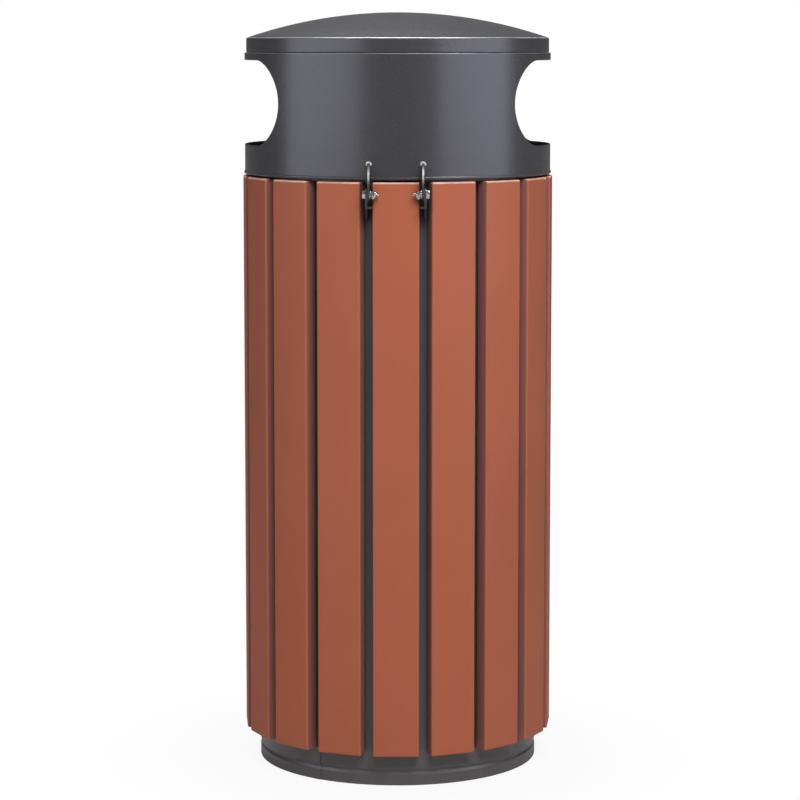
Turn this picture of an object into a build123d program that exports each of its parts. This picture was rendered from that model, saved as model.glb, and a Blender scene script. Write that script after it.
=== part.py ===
from build123d import *
from math import cos, degrees, radians, sin, sqrt
import os

# Round litter bin: a steel drum clad with upright slats, a tilting head with two
# deposit openings, a galvanised liner with two drop handles, and a key lock.
# Millimetres, +Z up. The origin is the centre of the drum's foot, on the floor.
# The hinge side faces -Y, the lock side +Y and the deposit openings +X and -X.

# ---- driving dimensions ------------------------------------------------------
drum_radius = 180.0            # outside of the drum sheet
drum_height = 760.5
drum_sheet = 1.5
plinth_height = 41.0           # floor to the lower ends of the slats
groove_bottom = 13.0           # swage rolled into the plinth
groove_width = 9.0
groove_depth = 1.4
seam_width = 10.0              # lapped edge of the drum sheet
seam_thickness = 0.9
seam_side_step = 6.0           # middle of its gap to the seam's middle

slat_count = 17
slat_gap = 9.5                 # clear gap between two slats, at the drum
slat_depth = 18.0
slat_edge_radius = 2.5
slat_end_radius = 2.0
slat_top_drop = 2.5            # slat tops lie this far under the drum's edge

head_overhang = 15.1           # head wall stands this far outside the drum
head_wall_height = 154.0
head_sheet = 1.5
head_lip_radius = 2.0          # rolled lower edge
lower_band = 37.8              # wall under the deposit openings
upper_band = 9.4               # wall over them
opening_arc = 284.0            # width of an opening, measured round the wall

roof_skirt_height = 18.7       # skirt that shows above the wall
roof_rise = 32.5
roof_sheet = 1.2
roof_step = 1.0                # skirt is this much smaller than the wall
roof_edge_radius = 3.0
roof_joggle_slope = 0.6        # height over which the skirt steps in

liner_gap = 20.0               # drum's outside to the liner's outside
liner_drop = 25.0              # drum's edge to the liner's rim
liner_sheet = 1.0
liner_bead_radius = 3.0

base_sheet = 2.0
base_flange_height = 11.0
anchor_circle = 240.0
anchor_count = 4
anchor_hole_radius = 6.0
drain_circle = 120.0
drain_count = 4
drain_hole_radius = 4.0

hoop_thickness = 3.0
hoop_height = 25.0
ring_thickness = 2.0
ring_inner_inset = 8.0         # ring's bore is this much smaller than the drum
ring_cut_half_width = 42.0     # ring is open here, so that it passes the keeper

hinge_plate = 2.5
hinge_eye_radius = 8.0
web_side_gap = 0.5             # web to the middle slat's side
pivot_drop = 17.1              # drum's edge down to the pivot
pivot_outset = 7.0             # slat face out to the pivot
lug_height = 32.8              # pivot down to the lug's lower end
web_drop = 14.2                # pivot down to the web that stops the head
leaf_rise = 38.0               # pivot up to the leaf's top
heel_forward = 11.46           # heel that lands on the web with the head open
heel_up = 9.83
bolt_radius = 3.0              # M6
bolt_length = 16.0
bolt_head_height = 4.0
bolt_across_flats = 10.0
nut_height = 5.0
nut_collar_height = 1.3
nut_collar_radius = 4.4
washer_radius = 6.0
washer_thickness = 1.2

screw_radius = 2.4             # pan-head wood screws that hold the slats
screw_length = 12.0
screw_head_radius = 4.6
screw_head_height = 2.6
screw_row_inset = 60.0

lock_rise = 27.0               # head's lower edge up to the lock
lock_flange_radius = 13.0
lock_flange_thickness = 3.0
lock_flange_chamfer = 1.0
lock_barrel_radius = 9.0
lock_nut_across_flats = 22.0
lock_nut_thickness = 6.0
lock_barrel_tail = 4.0         # barrel stands this far behind its nut
plug_radius = 6.0
plug_triangle_radius = 5.0
plug_mouth_radius = 5.6
plug_recess = 7.1
cam_thickness = 3.0
cam_half_width = 6.0
cam_arm = 18.0
cam_screw_radius = 3.0
cam_screw_head_radius = 5.0
cam_screw_head_height = 3.0
cam_screw_depth = 6.0

keeper_thickness = 2.5
keeper_width = 20.0
keeper_side_gap = 14.0         # lock's axis to the keeper's near edge
keeper_lip_reach = 13.0

handle_wire_radius = 2.5
handle_half_width = 40.0
handle_drop = 45.0
handle_bend_radius = 6.0
handle_end = 2.0               # wire that stands out past the ear
handle_below_rim = 24.0
handle_wall_gap = 14.0         # liner's wall in to the handle's axis
ear_thickness = 4.0
ear_half_height = 8.0
ear_bend_gap = 1.0             # bend's end to the ear

# ---- clearances --------------------------------------------------------------
seat_gap = 0.3                 # between parts that only rest on each other
weld_gap = 0.1                 # between parts that are welded to each other
running_gap = 0.05             # radial, pin in its hole
joggle_gap = 0.3
lug_side_gap = 1.0
slat_seat_gap = 0.1

# ---- derived places ----------------------------------------------------------
pitch = 360.0 / slat_count
half_pitch = radians(pitch / 2)
slat_back = drum_radius + slat_seat_gap
slat_width = 2 * (slat_back * sin(half_pitch) - slat_gap / 2) / cos(half_pitch)
slat_top = drum_height - slat_top_drop
slat_face = slat_back + slat_depth
slat_angles = [pitch * index for index in range(slat_count)]
screw_rows = {"upper": slat_top - screw_row_inset, "lower": plinth_height + screw_row_inset}

drum_inner = drum_radius - drum_sheet
hoop_outer = drum_inner - weld_gap
hoop_inner = hoop_outer - hoop_thickness

head_bottom = drum_height + seat_gap
head_radius = drum_radius + head_overhang
head_inner = head_radius - head_sheet
head_top = head_bottom + head_wall_height
opening_height = head_wall_height - lower_band - upper_band
opening_middle = head_bottom + lower_band + opening_height / 2
wall_middle = head_radius - head_sheet / 2
roof_radius = head_radius - roof_step
roof_corner = head_top + roof_skirt_height
overall_height = roof_corner + roof_rise

pivot_y = -(slat_face + pivot_outset)
pivot_z = drum_height - pivot_drop
neighbour_edge = slat_back * sin(2 * half_pitch) - slat_width / 2 * cos(2 * half_pitch)
lug_outer_x = neighbour_edge - lug_side_gap
lug_inner_x = lug_outer_x - hinge_plate
leaf_outer_x = lug_inner_x - weld_gap
leaf_inner_x = leaf_outer_x - hinge_plate

lock_z = head_bottom + lock_rise
barrel_end = head_inner - lock_nut_thickness - lock_barrel_tail
cam_back = barrel_end - weld_gap - cam_thickness
plug_front = head_radius + lock_flange_thickness - plug_recess

liner_radius = drum_radius - liner_gap
liner_inner = liner_radius - liner_sheet
liner_bottom = base_sheet + seat_gap
liner_top = drum_height - liner_drop
handle_x = liner_inner - handle_wall_gap
handle_z = liner_top - handle_below_rim
ear_near = handle_half_width + handle_bend_radius + ear_bend_gap


def around(angle, radius, height):
    """Point at an angle from -Y, turning towards +X."""
    turn = radians(angle)
    return (radius * sin(turn), -radius * cos(turn), height)


def outward(angle, radius, height):
    """Plane that faces straight out from the drum's axis."""
    turn = radians(angle)
    return Plane(origin=around(angle, radius, height), x_dir=(cos(turn), sin(turn), 0),
                 z_dir=(sin(turn), -cos(turn), 0))


def side_plane(side, distance):
    """Plane across X whose sketches are drawn as (y, z); its normal is +X."""
    return Plane(origin=(side * distance, 0, 0), x_dir=(0, 1, 0), z_dir=(1, 0, 0))


def back_plane(distance):
    """Plane across Y at the lock, drawn as (x, height over the lock); its normal is +Y."""
    return Plane(origin=(0, distance, lock_z), x_dir=(-1, 0, 0), z_dir=(0, 1, 0))


def save(piece, name):
    piece.part.label = name
    export_step(piece.part, f"parts/{name}.step")


# ---- drum --------------------------------------------------------------------
def make_drum_shell():
    """Rolled sheet with a swaged groove in the plinth and a hole for each slat screw."""
    groove_top = groove_bottom + groove_width
    groove_middle = groove_bottom + groove_width / 2
    with BuildPart() as drum_shell:
        with BuildSketch(Plane.XZ):
            with BuildLine():
                Line((drum_radius, 0), (drum_radius, groove_bottom))
                ThreePointArc((drum_radius, groove_bottom), (drum_radius - groove_depth, groove_middle),
                              (drum_radius, groove_top))
                Polyline((drum_radius, groove_top), (drum_radius, drum_height),
                         (drum_inner, drum_height), (drum_inner, groove_top))
                ThreePointArc((drum_inner, groove_top), (drum_inner - groove_depth, groove_middle),
                              (drum_inner, groove_bottom))
                Polyline((drum_inner, groove_bottom), (drum_inner, 0), (drum_radius, 0))
            make_face()
        revolve(axis=Axis.Z)
        for height in screw_rows.values():
            for angle in slat_angles:
                with BuildSketch(outward(angle, drum_inner - 2 * drum_sheet, height)):
                    Circle(screw_radius + weld_gap)
                extrude(amount=4 * drum_sheet, mode=Mode.SUBTRACT)
    save(drum_shell, "drum_shell")


def make_drum_seam():
    """Lapped edge of the sheet, which shows in the second gap left of the hinge."""
    seam_turn = degrees(seam_width / drum_radius)
    gap_angle = slat_angles[1] / 2 - 2 * pitch
    seam_angle = gap_angle - degrees(seam_side_step / drum_radius)
    inner = drum_radius + running_gap
    start = Plane(origin=(0, 0, 0), x_dir=around(seam_angle - seam_turn / 2, 1, 0),
                  z_dir=around(seam_angle - seam_turn / 2 - 90, 1, 0))
    with BuildPart() as drum_seam:
        with BuildSketch(start):
            with Locations((inner + seam_thickness / 2, drum_height / 2)):
                Rectangle(seam_thickness, drum_height - 2 * seat_gap)
        revolve(axis=Axis.Z, revolution_arc=seam_turn)
    save(drum_seam, "drum_seam")


def make_rim_hoop():
    """Flat hoop that stiffens the drum's edge and carries the lock's keeper."""
    with BuildPart() as rim_hoop:
        with BuildSketch(Plane.XY.offset(drum_height - hoop_height)):
            Circle(hoop_outer)
            Circle(hoop_inner, mode=Mode.SUBTRACT)
        extrude(amount=hoop_height)
    save(rim_hoop, "rim_hoop")


def make_base_plate():
    """Dished floor plate with anchor holes and drain holes."""
    outer = drum_inner - weld_gap
    with BuildPart() as base_plate:
        with BuildSketch():
            Circle(outer)
            with PolarLocations(anchor_circle / 2, anchor_count, start_angle=45):
                Circle(anchor_hole_radius, mode=Mode.SUBTRACT)
            with PolarLocations(drain_circle / 2, drain_count):
                Circle(drain_hole_radius, mode=Mode.SUBTRACT)
        extrude(amount=base_sheet)
        with BuildSketch(Plane.XY.offset(base_sheet)):
            Circle(outer)
            Circle(outer - base_sheet, mode=Mode.SUBTRACT)
        extrude(amount=base_flange_height - base_sheet)
    save(base_plate, "base_plate")


def make_slat(number, angle):
    """Upright slat with rounded edges and two blind pilot holes in its back."""
    turn = radians(angle)
    foot = Plane(origin=around(angle, slat_back + slat_depth / 2, plinth_height),
                 x_dir=(cos(turn), sin(turn), 0), z_dir=(0, 0, 1))
    with BuildPart() as slat:
        with BuildSketch(foot) as outline:
            Rectangle(slat_width, slat_depth)
            fillet(outline.vertices(), slat_edge_radius)
        extrude(amount=slat_top - plinth_height)
        ends = slat.faces().sort_by(Axis.Z)
        fillet(ends[0].edges() + ends[-1].edges(), slat_end_radius)
        for height in screw_rows.values():
            with BuildSketch(outward(angle, slat_back, height)):
                Circle(screw_radius + running_gap)
            extrude(amount=screw_length, mode=Mode.SUBTRACT)
    save(slat, f"slat_{number:02d}")


def make_slat_screws(row):
    """One row of pan-head screws, driven from inside the drum into the slats."""
    height = screw_rows[row]
    with BuildPart() as slat_screws:
        for angle in slat_angles:
            with BuildSketch(outward(angle, drum_inner - seat_gap - screw_head_height, height)):
                Circle(screw_head_radius)
            extrude(amount=screw_head_height)
            with BuildSketch(outward(angle, drum_inner - seat_gap, height)):
                Circle(screw_radius)
            extrude(amount=screw_length)
    save(slat_screws, f"slat_screws_{row}")


# ---- hinge -------------------------------------------------------------------
def make_hinge_lug(side, name):
    """Drum half of the hinge: an upright plate with the eye, and a web below it."""
    front = pivot_y - hinge_eye_radius
    web_top = pivot_z - web_drop
    lower_end = pivot_z - lug_height
    inner_x = min(side * lug_inner_x, side * lug_outer_x)
    with BuildPart() as hinge_lug:
        with BuildSketch(side_plane(1, inner_x)):
            with BuildLine():
                CenterArc((pivot_y, pivot_z), hinge_eye_radius, 90, 90)
                Polyline((front, pivot_z), (front, web_top - hinge_plate),
                         (-drum_radius - slat_depth / 2, lower_end), (-drum_inner + slat_depth, lower_end),
                         (-drum_inner + slat_depth, pivot_z + hinge_eye_radius),
                         (pivot_y, pivot_z + hinge_eye_radius))
            make_face()
            with Locations((pivot_y, pivot_z)):
                Circle(bolt_radius + running_gap, mode=Mode.SUBTRACT)
        extrude(amount=hinge_plate)
        web_reach = lug_inner_x - slat_width / 2 - web_side_gap
        web_middle = side * (lug_inner_x - web_reach / 2)
        web_depth = -drum_inner + slat_depth - front
        with BuildSketch(Plane.XY.offset(web_top - hinge_plate)):
            with Locations((web_middle, front + web_depth / 2)):
                Rectangle(web_reach, web_depth)
        extrude(amount=hinge_plate)
        with BuildSketch(Plane.XY.offset(lower_end)):
            Circle(drum_radius + weld_gap)
        extrude(amount=lug_height + 2 * hinge_eye_radius, mode=Mode.SUBTRACT)
    save(hinge_lug, name)


def make_hinge_leaf(side, name):
    """Head half of the hinge: a plate from the head's wall down to the eye, with a stop heel."""
    heel_y = pivot_y - heel_forward
    leaf_top = pivot_z + leaf_rise
    shoulder = leaf_top - heel_forward
    back_y = pivot_y + hinge_eye_radius
    inner_x = min(side * leaf_inner_x, side * leaf_outer_x)
    with BuildPart() as hinge_leaf:
        with BuildSketch(side_plane(1, inner_x)):
            with BuildLine():
                CenterArc((pivot_y, pivot_z), hinge_eye_radius, 180, 180)
                Polyline((pivot_y - hinge_eye_radius, pivot_z), (heel_y, pivot_z + heel_up),
                         (heel_y, shoulder), (-head_radius, leaf_top), (-drum_radius, leaf_top),
                         (-drum_radius, head_bottom), (back_y, head_bottom), (back_y, pivot_z))
            make_face()
            with Locations((pivot_y, pivot_z)):
                Circle(bolt_radius + running_gap, mode=Mode.SUBTRACT)
        extrude(amount=hinge_plate)
        with BuildSketch(Plane.XY.offset(head_bottom - weld_gap)):
            Circle(wall_middle + head_lip_radius + weld_gap)
        extrude(amount=2 * head_lip_radius + 2 * weld_gap, mode=Mode.SUBTRACT)
        with BuildSketch(Plane.XY.offset(head_bottom)):
            Circle(head_radius + weld_gap)
        extrude(amount=leaf_rise, mode=Mode.SUBTRACT)
    save(hinge_leaf, name)


def pivot_plane(side, distance):
    """Plane across the hinge axis that faces away from the middle of the bin."""
    return Plane(origin=(side * distance, pivot_y, pivot_z), x_dir=(0, 1, 0), z_dir=(side, 0, 0))


def make_hinge_bolts():
    """Two hexagon bolts along the hinge axis, heads outwards."""
    with BuildPart() as hinge_bolts:
        for side in (-1, 1):
            with BuildSketch(pivot_plane(side, lug_outer_x)):
                RegularPolygon(bolt_across_flats / 2, 6, major_radius=False)
            extrude(amount=bolt_head_height)
            with BuildSketch(pivot_plane(side, lug_outer_x)):
                Circle(bolt_radius)
            extrude(amount=-bolt_length)
    save(hinge_bolts, "hinge_bolts")


def make_hinge_washers():
    """A washer under each nut."""
    with BuildPart() as hinge_washers:
        for side in (-1, 1):
            with BuildSketch(pivot_plane(side, leaf_inner_x - weld_gap)):
                Circle(washer_radius)
                Circle(bolt_radius + running_gap, mode=Mode.SUBTRACT)
            extrude(amount=-washer_thickness)
    save(hinge_washers, "hinge_washers")


def make_hinge_nuts():
    """A lock nut with a collar on each bolt's inner end."""
    seat = leaf_inner_x - weld_gap - washer_thickness
    with BuildPart() as hinge_nuts:
        for side in (-1, 1):
            with BuildSketch(pivot_plane(side, seat)):
                RegularPolygon(bolt_across_flats / 2, 6, major_radius=False)
                Circle(bolt_radius + running_gap, mode=Mode.SUBTRACT)
            extrude(amount=-nut_height)
            with BuildSketch(pivot_plane(side, seat - nut_height)):
                Circle(nut_collar_radius)
                Circle(bolt_radius + running_gap, mode=Mode.SUBTRACT)
            extrude(amount=-nut_collar_height)
    save(hinge_nuts, "hinge_nuts")


# ---- head --------------------------------------------------------------------
def make_head_wall():
    """Rolled wall with a wired lower edge, two deposit openings and the lock's hole."""
    end_rise = opening_height / 2
    straight = opening_arc / 2 - end_rise
    half_straight = head_radius * sin(straight / head_radius)
    half_opening = head_radius * sin(opening_arc / 2 / head_radius)
    with BuildPart() as head_wall:
        with BuildSketch(Plane.XZ):
            with Locations((wall_middle, (head_bottom + head_lip_radius + head_top) / 2)):
                Rectangle(head_sheet, head_top - head_bottom - head_lip_radius)
            with Locations((wall_middle, head_bottom + head_lip_radius)):
                Circle(head_lip_radius)
        revolve(axis=Axis.Z)
        with BuildSketch(side_plane(1, -2 * head_radius)):
            with Locations((0, opening_middle)):
                Rectangle(2 * half_straight, opening_height)
            with Locations((half_straight, opening_middle), (-half_straight, opening_middle)):
                Ellipse(half_opening - half_straight, end_rise)
        extrude(amount=4 * head_radius, mode=Mode.SUBTRACT)
        with BuildSketch(back_plane(drum_radius)):
            Circle(lock_barrel_radius + weld_gap)
        extrude(amount=2 * head_overhang, mode=Mode.SUBTRACT)
    save(head_wall, "head_wall")


def make_head_ring():
    """Flat ring inside the head's foot, which rests on the drum's edge."""
    outer = wall_middle - head_lip_radius - weld_gap
    with BuildPart() as head_ring:
        with BuildSketch(Plane.XY.offset(head_bottom)):
            Circle(outer)
            Circle(drum_radius - ring_inner_inset, mode=Mode.SUBTRACT)
            with Locations((0, drum_radius)):
                Rectangle(2 * ring_cut_half_width, 2 * head_overhang + 2 * ring_inner_inset,
                          mode=Mode.SUBTRACT)
        extrude(amount=ring_thickness)
    save(head_ring, "head_ring")


def roof_outline(inset, foot):
    """Half section of the roof, moved in by inset, with its lower end at foot."""
    sphere = (roof_radius ** 2 + roof_rise ** 2) / (2 * roof_rise)
    sphere_middle = overall_height - sphere
    bend = roof_edge_radius
    bend_x = roof_radius - bend
    bend_z = sphere_middle + sqrt((sphere - bend) ** 2 - bend_x ** 2)
    tangent_x = bend_x * sphere / (sphere - bend)
    tangent_z = sphere_middle + (bend_z - sphere_middle) * sphere / (sphere - bend)
    scale = (sphere - inset) / sphere
    dome_end = (tangent_x * scale, sphere_middle + (tangent_z - sphere_middle) * scale)
    middle_x = tangent_x / 2 * scale
    middle_z = sphere_middle + sqrt((sphere - inset) ** 2 - middle_x ** 2)
    bend_left = bend - inset
    turn = radians(45)
    joggle = head_inner - joggle_gap - inset
    skirt = roof_radius - inset
    step_z = head_top + inset
    ThreePointArc((0, overall_height - inset), (middle_x, middle_z), dome_end)
    ThreePointArc(dome_end, (bend_x + bend_left * sin(turn), bend_z + bend_left * cos(turn)),
                  (skirt, bend_z))
    Polyline((skirt, bend_z), (skirt, step_z + roof_joggle_slope), (joggle, step_z), (joggle, foot),
             (0, foot), (0, overall_height - inset))


def make_roof():
    """Pressed dome with a skirt that is joggled to sit inside the wall."""
    foot = head_top - upper_band + joggle_gap
    with BuildPart() as roof:
        with BuildSketch(Plane.XZ):
            with BuildLine():
                roof_outline(0, foot)
            make_face()
            with BuildLine():
                roof_outline(roof_sheet, foot)
            make_face(mode=Mode.SUBTRACT)
        revolve(axis=Axis.Z)
    save(roof, "roof")


# ---- lock --------------------------------------------------------------------
def make_lock_body():
    """Threaded barrel with an outer flange, bored for the plug."""
    with BuildPart() as lock_body:
        with BuildSketch(back_plane(barrel_end)):
            Circle(lock_barrel_radius)
        extrude(amount=head_radius - barrel_end)
        with BuildSketch(back_plane(head_radius)):
            Circle(lock_flange_radius)
        extrude(amount=lock_flange_thickness)
        front_edges = lock_body.edges().filter_by(GeomType.CIRCLE).sort_by(Axis.Y)
        chamfer(front_edges[-1], lock_flange_chamfer)
        with BuildSketch(back_plane(barrel_end)):
            Circle(plug_radius + running_gap)
        extrude(amount=plug_front + weld_gap - barrel_end, mode=Mode.SUBTRACT)
        with BuildSketch(back_plane(plug_front)):
            Circle(plug_mouth_radius)
        extrude(amount=plug_recess, mode=Mode.SUBTRACT)
    save(lock_body, "lock_body")


def make_lock_nut():
    """Flat nut that clamps the lock to the inside of the wall."""
    flat = lock_nut_across_flats / 2
    outer_face = sqrt(head_inner ** 2 - flat ** 2) - weld_gap
    with BuildPart() as lock_nut:
        with BuildSketch(back_plane(outer_face - lock_nut_thickness)):
            RegularPolygon(flat, 6, major_radius=False, rotation=30)
            Circle(lock_barrel_radius + running_gap, mode=Mode.SUBTRACT)
        extrude(amount=lock_nut_thickness)
    save(lock_nut, "lock_nut")


def make_lock_plug():
    """Turning plug with a triangular drive, threaded behind for the cam's screw."""
    with BuildPart() as lock_plug:
        with BuildSketch(back_plane(cam_back + cam_thickness)):
            Circle(plug_radius)
        extrude(amount=plug_front - cam_back - cam_thickness)
        with BuildSketch(back_plane(plug_front)):
            RegularPolygon(plug_triangle_radius, 3, rotation=90)
        extrude(amount=plug_recess - weld_gap)
        with BuildSketch(back_plane(cam_back + cam_thickness)):
            Circle(cam_screw_radius + running_gap)
        extrude(amount=cam_screw_depth, mode=Mode.SUBTRACT)
    save(lock_plug, "lock_plug")


def make_lock_cam():
    """Cam arm behind the plug: it hangs down unlocked, and turns under the keeper."""
    with BuildPart() as lock_cam:
        with BuildSketch(back_plane(cam_back)):
            with Locations((0, -cam_arm / 2)):
                SlotCenterToCenter(cam_arm, 2 * cam_half_width, rotation=90)
            Circle(cam_screw_radius + running_gap, mode=Mode.SUBTRACT)
        extrude(amount=cam_thickness - running_gap)
    save(lock_cam, "lock_cam")


def make_cam_screw():
    """Screw that clamps the cam to the plug."""
    with BuildPart() as cam_screw:
        with BuildSketch(back_plane(cam_back - weld_gap)):
            Circle(cam_screw_head_radius)
        extrude(amount=-cam_screw_head_height)
        with BuildSketch(back_plane(cam_back - weld_gap)):
            Circle(cam_screw_radius)
        extrude(amount=cam_thickness + cam_screw_depth - weld_gap)
    save(cam_screw, "cam_screw")


def make_lock_keeper():
    """Bracket on the hoop with a lip that the turned cam catches under."""
    far_x = keeper_side_gap + keeper_width
    outer_y = sqrt(hoop_inner ** 2 - far_x ** 2) - weld_gap
    lip_bottom = lock_z + cam_half_width + seat_gap
    foot = drum_height - hoop_height
    middle_x = -(keeper_side_gap + keeper_width / 2)
    with BuildPart() as lock_keeper:
        with BuildSketch(Plane.XY.offset(foot)):
            with Locations((middle_x, outer_y - keeper_thickness / 2)):
                Rectangle(keeper_width, keeper_thickness)
        extrude(amount=lip_bottom + keeper_thickness - foot)
        with BuildSketch(Plane.XY.offset(lip_bottom)):
            with Locations((middle_x, outer_y + keeper_lip_reach / 2)):
                Rectangle(keeper_width, keeper_lip_reach)
        extrude(amount=keeper_thickness)
    save(lock_keeper, "lock_keeper")


# ---- liner -------------------------------------------------------------------
def make_liner_shell():
    """Galvanised bucket with a wired rim."""
    with BuildPart() as liner_shell:
        with BuildSketch(Plane.XY.offset(liner_bottom)):
            Circle(liner_radius)
        extrude(amount=liner_sheet)
        with BuildSketch(Plane.XZ):
            with Locations((liner_radius - liner_sheet / 2, (liner_bottom + liner_top) / 2)):
                Rectangle(liner_sheet, liner_top - liner_bottom)
            with Locations((liner_radius + liner_bead_radius - liner_sheet / 2,
                            liner_top - liner_bead_radius)):
                Circle(liner_bead_radius)
        revolve(axis=Axis.Z)
    save(liner_shell, "liner_shell")


def make_liner_ears(side, name):
    """Two ears on the liner's wall, bored for the ends of a drop handle."""
    with BuildPart() as liner_ears:
        for end in (-1, 1):
            ear_start = end * ear_near if end > 0 else end * ear_near - ear_thickness
            ear_plane = Plane(origin=(0, ear_start, 0), x_dir=(1, 0, 0), z_dir=(0, -1, 0))
            with BuildSketch(ear_plane):
                with Locations((side * handle_x, handle_z)):
                    Circle(ear_half_height)
                with Locations((side * (handle_x + ear_half_height), handle_z)):
                    Rectangle(2 * ear_half_height, 2 * ear_half_height)
                with Locations((side * handle_x, handle_z)):
                    Circle(handle_wire_radius + running_gap, mode=Mode.SUBTRACT)
            extrude(amount=-ear_thickness)
        with BuildSketch(Plane.XY.offset(handle_z - 2 * ear_half_height)):
            Circle(2 * drum_radius)
            Circle(liner_inner - weld_gap, mode=Mode.SUBTRACT)
        extrude(amount=4 * ear_half_height, mode=Mode.SUBTRACT)
    save(liner_ears, name)


def make_liner_handle(side, name):
    """Drop handle of bent wire, hanging straight down against the liner's wall."""
    x = side * handle_x
    y = handle_half_width
    end_y = ear_near + ear_thickness + handle_end
    low_z = handle_z - handle_drop
    with BuildPart() as liner_handle:
        with BuildLine() as route:
            FilletPolyline((x, end_y, handle_z), (x, y, handle_z), (x, y, low_z), (x, -y, low_z),
                           (x, -y, handle_z), (x, -end_y, handle_z), radius=handle_bend_radius)
        with BuildSketch(Plane(origin=(x, end_y, handle_z), x_dir=(1, 0, 0), z_dir=(0, -1, 0))):
            Circle(handle_wire_radius)
        sweep(path=route.wires()[0])
    save(liner_handle, name)


make_drum_shell()
make_drum_seam()
make_rim_hoop()
make_base_plate()
for number, angle in enumerate(slat_angles, start=1):
    make_slat(number, angle)
for row in screw_rows:
    make_slat_screws(row)
for side, side_name in ((-1, "left"), (1, "right")):
    make_hinge_lug(side, f"hinge_lug_{side_name}")
    make_hinge_leaf(side, f"hinge_leaf_{side_name}")
    make_liner_ears(side, f"liner_ears_{side_name}")
    make_liner_handle(side, f"liner_handle_{side_name}")
make_hinge_bolts()
make_hinge_washers()
make_hinge_nuts()
make_head_wall()
make_head_ring()
make_roof()
make_lock_body()
make_lock_nut()
make_lock_plug()
make_lock_cam()
make_cam_screw()
make_lock_keeper()
make_liner_shell()
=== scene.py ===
# %% [markdown]
# # A slatted litter bin
# A round litter bin stands on a pale studio floor. Its working parts come from the packed
# model: a steel drum, seventeen upright slats, a head that tips on two bolted hinges, a key
# lock at the back and a galvanised liner. The cells below give each of those parts the
# surface that a person sees: rolled sheet, fine-textured paint, bright zinc and spangle.
#
# Everything is in metres, in the model's own frame. +Z is up, the hinge side faces -Y and
# the two deposit openings face +X and -X.

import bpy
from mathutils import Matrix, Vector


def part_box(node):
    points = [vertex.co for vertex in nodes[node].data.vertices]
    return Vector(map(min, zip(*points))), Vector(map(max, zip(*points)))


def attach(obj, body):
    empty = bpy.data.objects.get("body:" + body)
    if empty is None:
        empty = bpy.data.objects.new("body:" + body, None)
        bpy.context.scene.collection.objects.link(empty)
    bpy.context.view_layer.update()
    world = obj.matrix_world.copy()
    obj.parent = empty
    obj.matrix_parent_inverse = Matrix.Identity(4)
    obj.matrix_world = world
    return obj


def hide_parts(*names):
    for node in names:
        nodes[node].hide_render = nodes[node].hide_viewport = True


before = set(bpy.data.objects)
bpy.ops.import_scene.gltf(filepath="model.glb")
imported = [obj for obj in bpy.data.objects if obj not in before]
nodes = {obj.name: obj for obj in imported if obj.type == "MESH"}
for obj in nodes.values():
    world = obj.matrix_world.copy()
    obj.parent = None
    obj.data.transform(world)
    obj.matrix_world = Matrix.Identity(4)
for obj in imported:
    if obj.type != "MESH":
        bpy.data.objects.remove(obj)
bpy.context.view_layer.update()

# %% Libraries and units
import math

import bmesh
import bpy
import numpy as np
from mathutils import Vector

MM = 0.001
scene = bpy.context.scene


def low(node):
    """Lowest corner of a node's box at rest."""
    return np.array(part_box(node)[0])


def high(node):
    """Highest corner of a node's box at rest."""
    return np.array(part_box(node)[1])


print("drum from", low("drum_shell"), "to", high("drum_shell"))

# %% [markdown]
# ## The camera
# A product picture of a tall bin is taken from about waist height with a long lens. The
# camera looks slightly down, so the base shows a deep curve while the top edge of the head
# looks almost flat. A long lens keeps the upright slats close to parallel.

# %% Camera
CAMERA_PLACE = (0.039, -3.62, 0.934)
CAMERA_TURN = math.radians(0.569)      # to the left of straight ahead
CAMERA_DIP = math.radians(6.40)        # below the horizon
CAMERA_LENS = 126.2                    # millimetres
CAMERA_SENSOR = 36                     # millimetres, the width of a full frame
CAMERA_SHIFT = -0.06                   # share of the frame's width

camera_data = bpy.data.cameras.new("camera")
camera_data.sensor_width = CAMERA_SENSOR
camera_data.lens = CAMERA_LENS
camera_data.shift_y = CAMERA_SHIFT
camera = bpy.data.objects.new("camera", camera_data)
camera.location = CAMERA_PLACE
camera.rotation_euler = (math.pi / 2 - CAMERA_DIP, 0, CAMERA_TURN)
scene.collection.objects.link(camera)
scene.camera = camera
print("camera lens", CAMERA_LENS, "mm at", CAMERA_PLACE)

# %% [markdown]
# ## Helpers for surfaces
# Nearly every part of this bin is either turned about an upright axis, or a section carried
# along a straight or bent path. Both are a grid of points, one index round the section and
# one along the path, so one function builds every mesh from a whole array of points. The
# same function then cleans the mesh: it closes the poles and turns the faces outwards.


# %% A grid of points becomes a mesh
def surface(name, grid, wrap_u=False, wrap_v=False, caps=False, sharp=35.0):
    """Mesh from grid[u, v] = (x, y, z). wrap_u and wrap_v close the grid on itself; caps
    fill the two ends of u with one face each. Equal points are merged, which closes poles.
    Faces point outwards, found by the sign of the closed volume."""
    count_u, count_v = grid.shape[:2]
    index = np.arange(count_u * count_v).reshape(count_u, count_v)
    if wrap_u:
        index = np.vstack([index, index[:1]])
    if wrap_v:
        index = np.hstack([index, index[:, :1]])
    quads = np.stack([index[:-1, :-1], index[1:, :-1], index[1:, 1:], index[:-1, 1:]], axis=-1)
    faces = [tuple(face) for face in quads.reshape(-1, 4).tolist()]
    if caps:
        faces.append(tuple(index[0, :count_v].tolist()))
        faces.append(tuple(index[-1, :count_v][::-1].tolist()))
    mesh = bpy.data.meshes.new(name)
    mesh.from_pydata(grid.reshape(-1, 3).tolist(), [], faces)
    return finish_mesh(name, mesh, sharp)


# %% Cleaning and linking a mesh
MERGE_DISTANCE = 1e-6
THIN_EDGE = 1e-7


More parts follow.
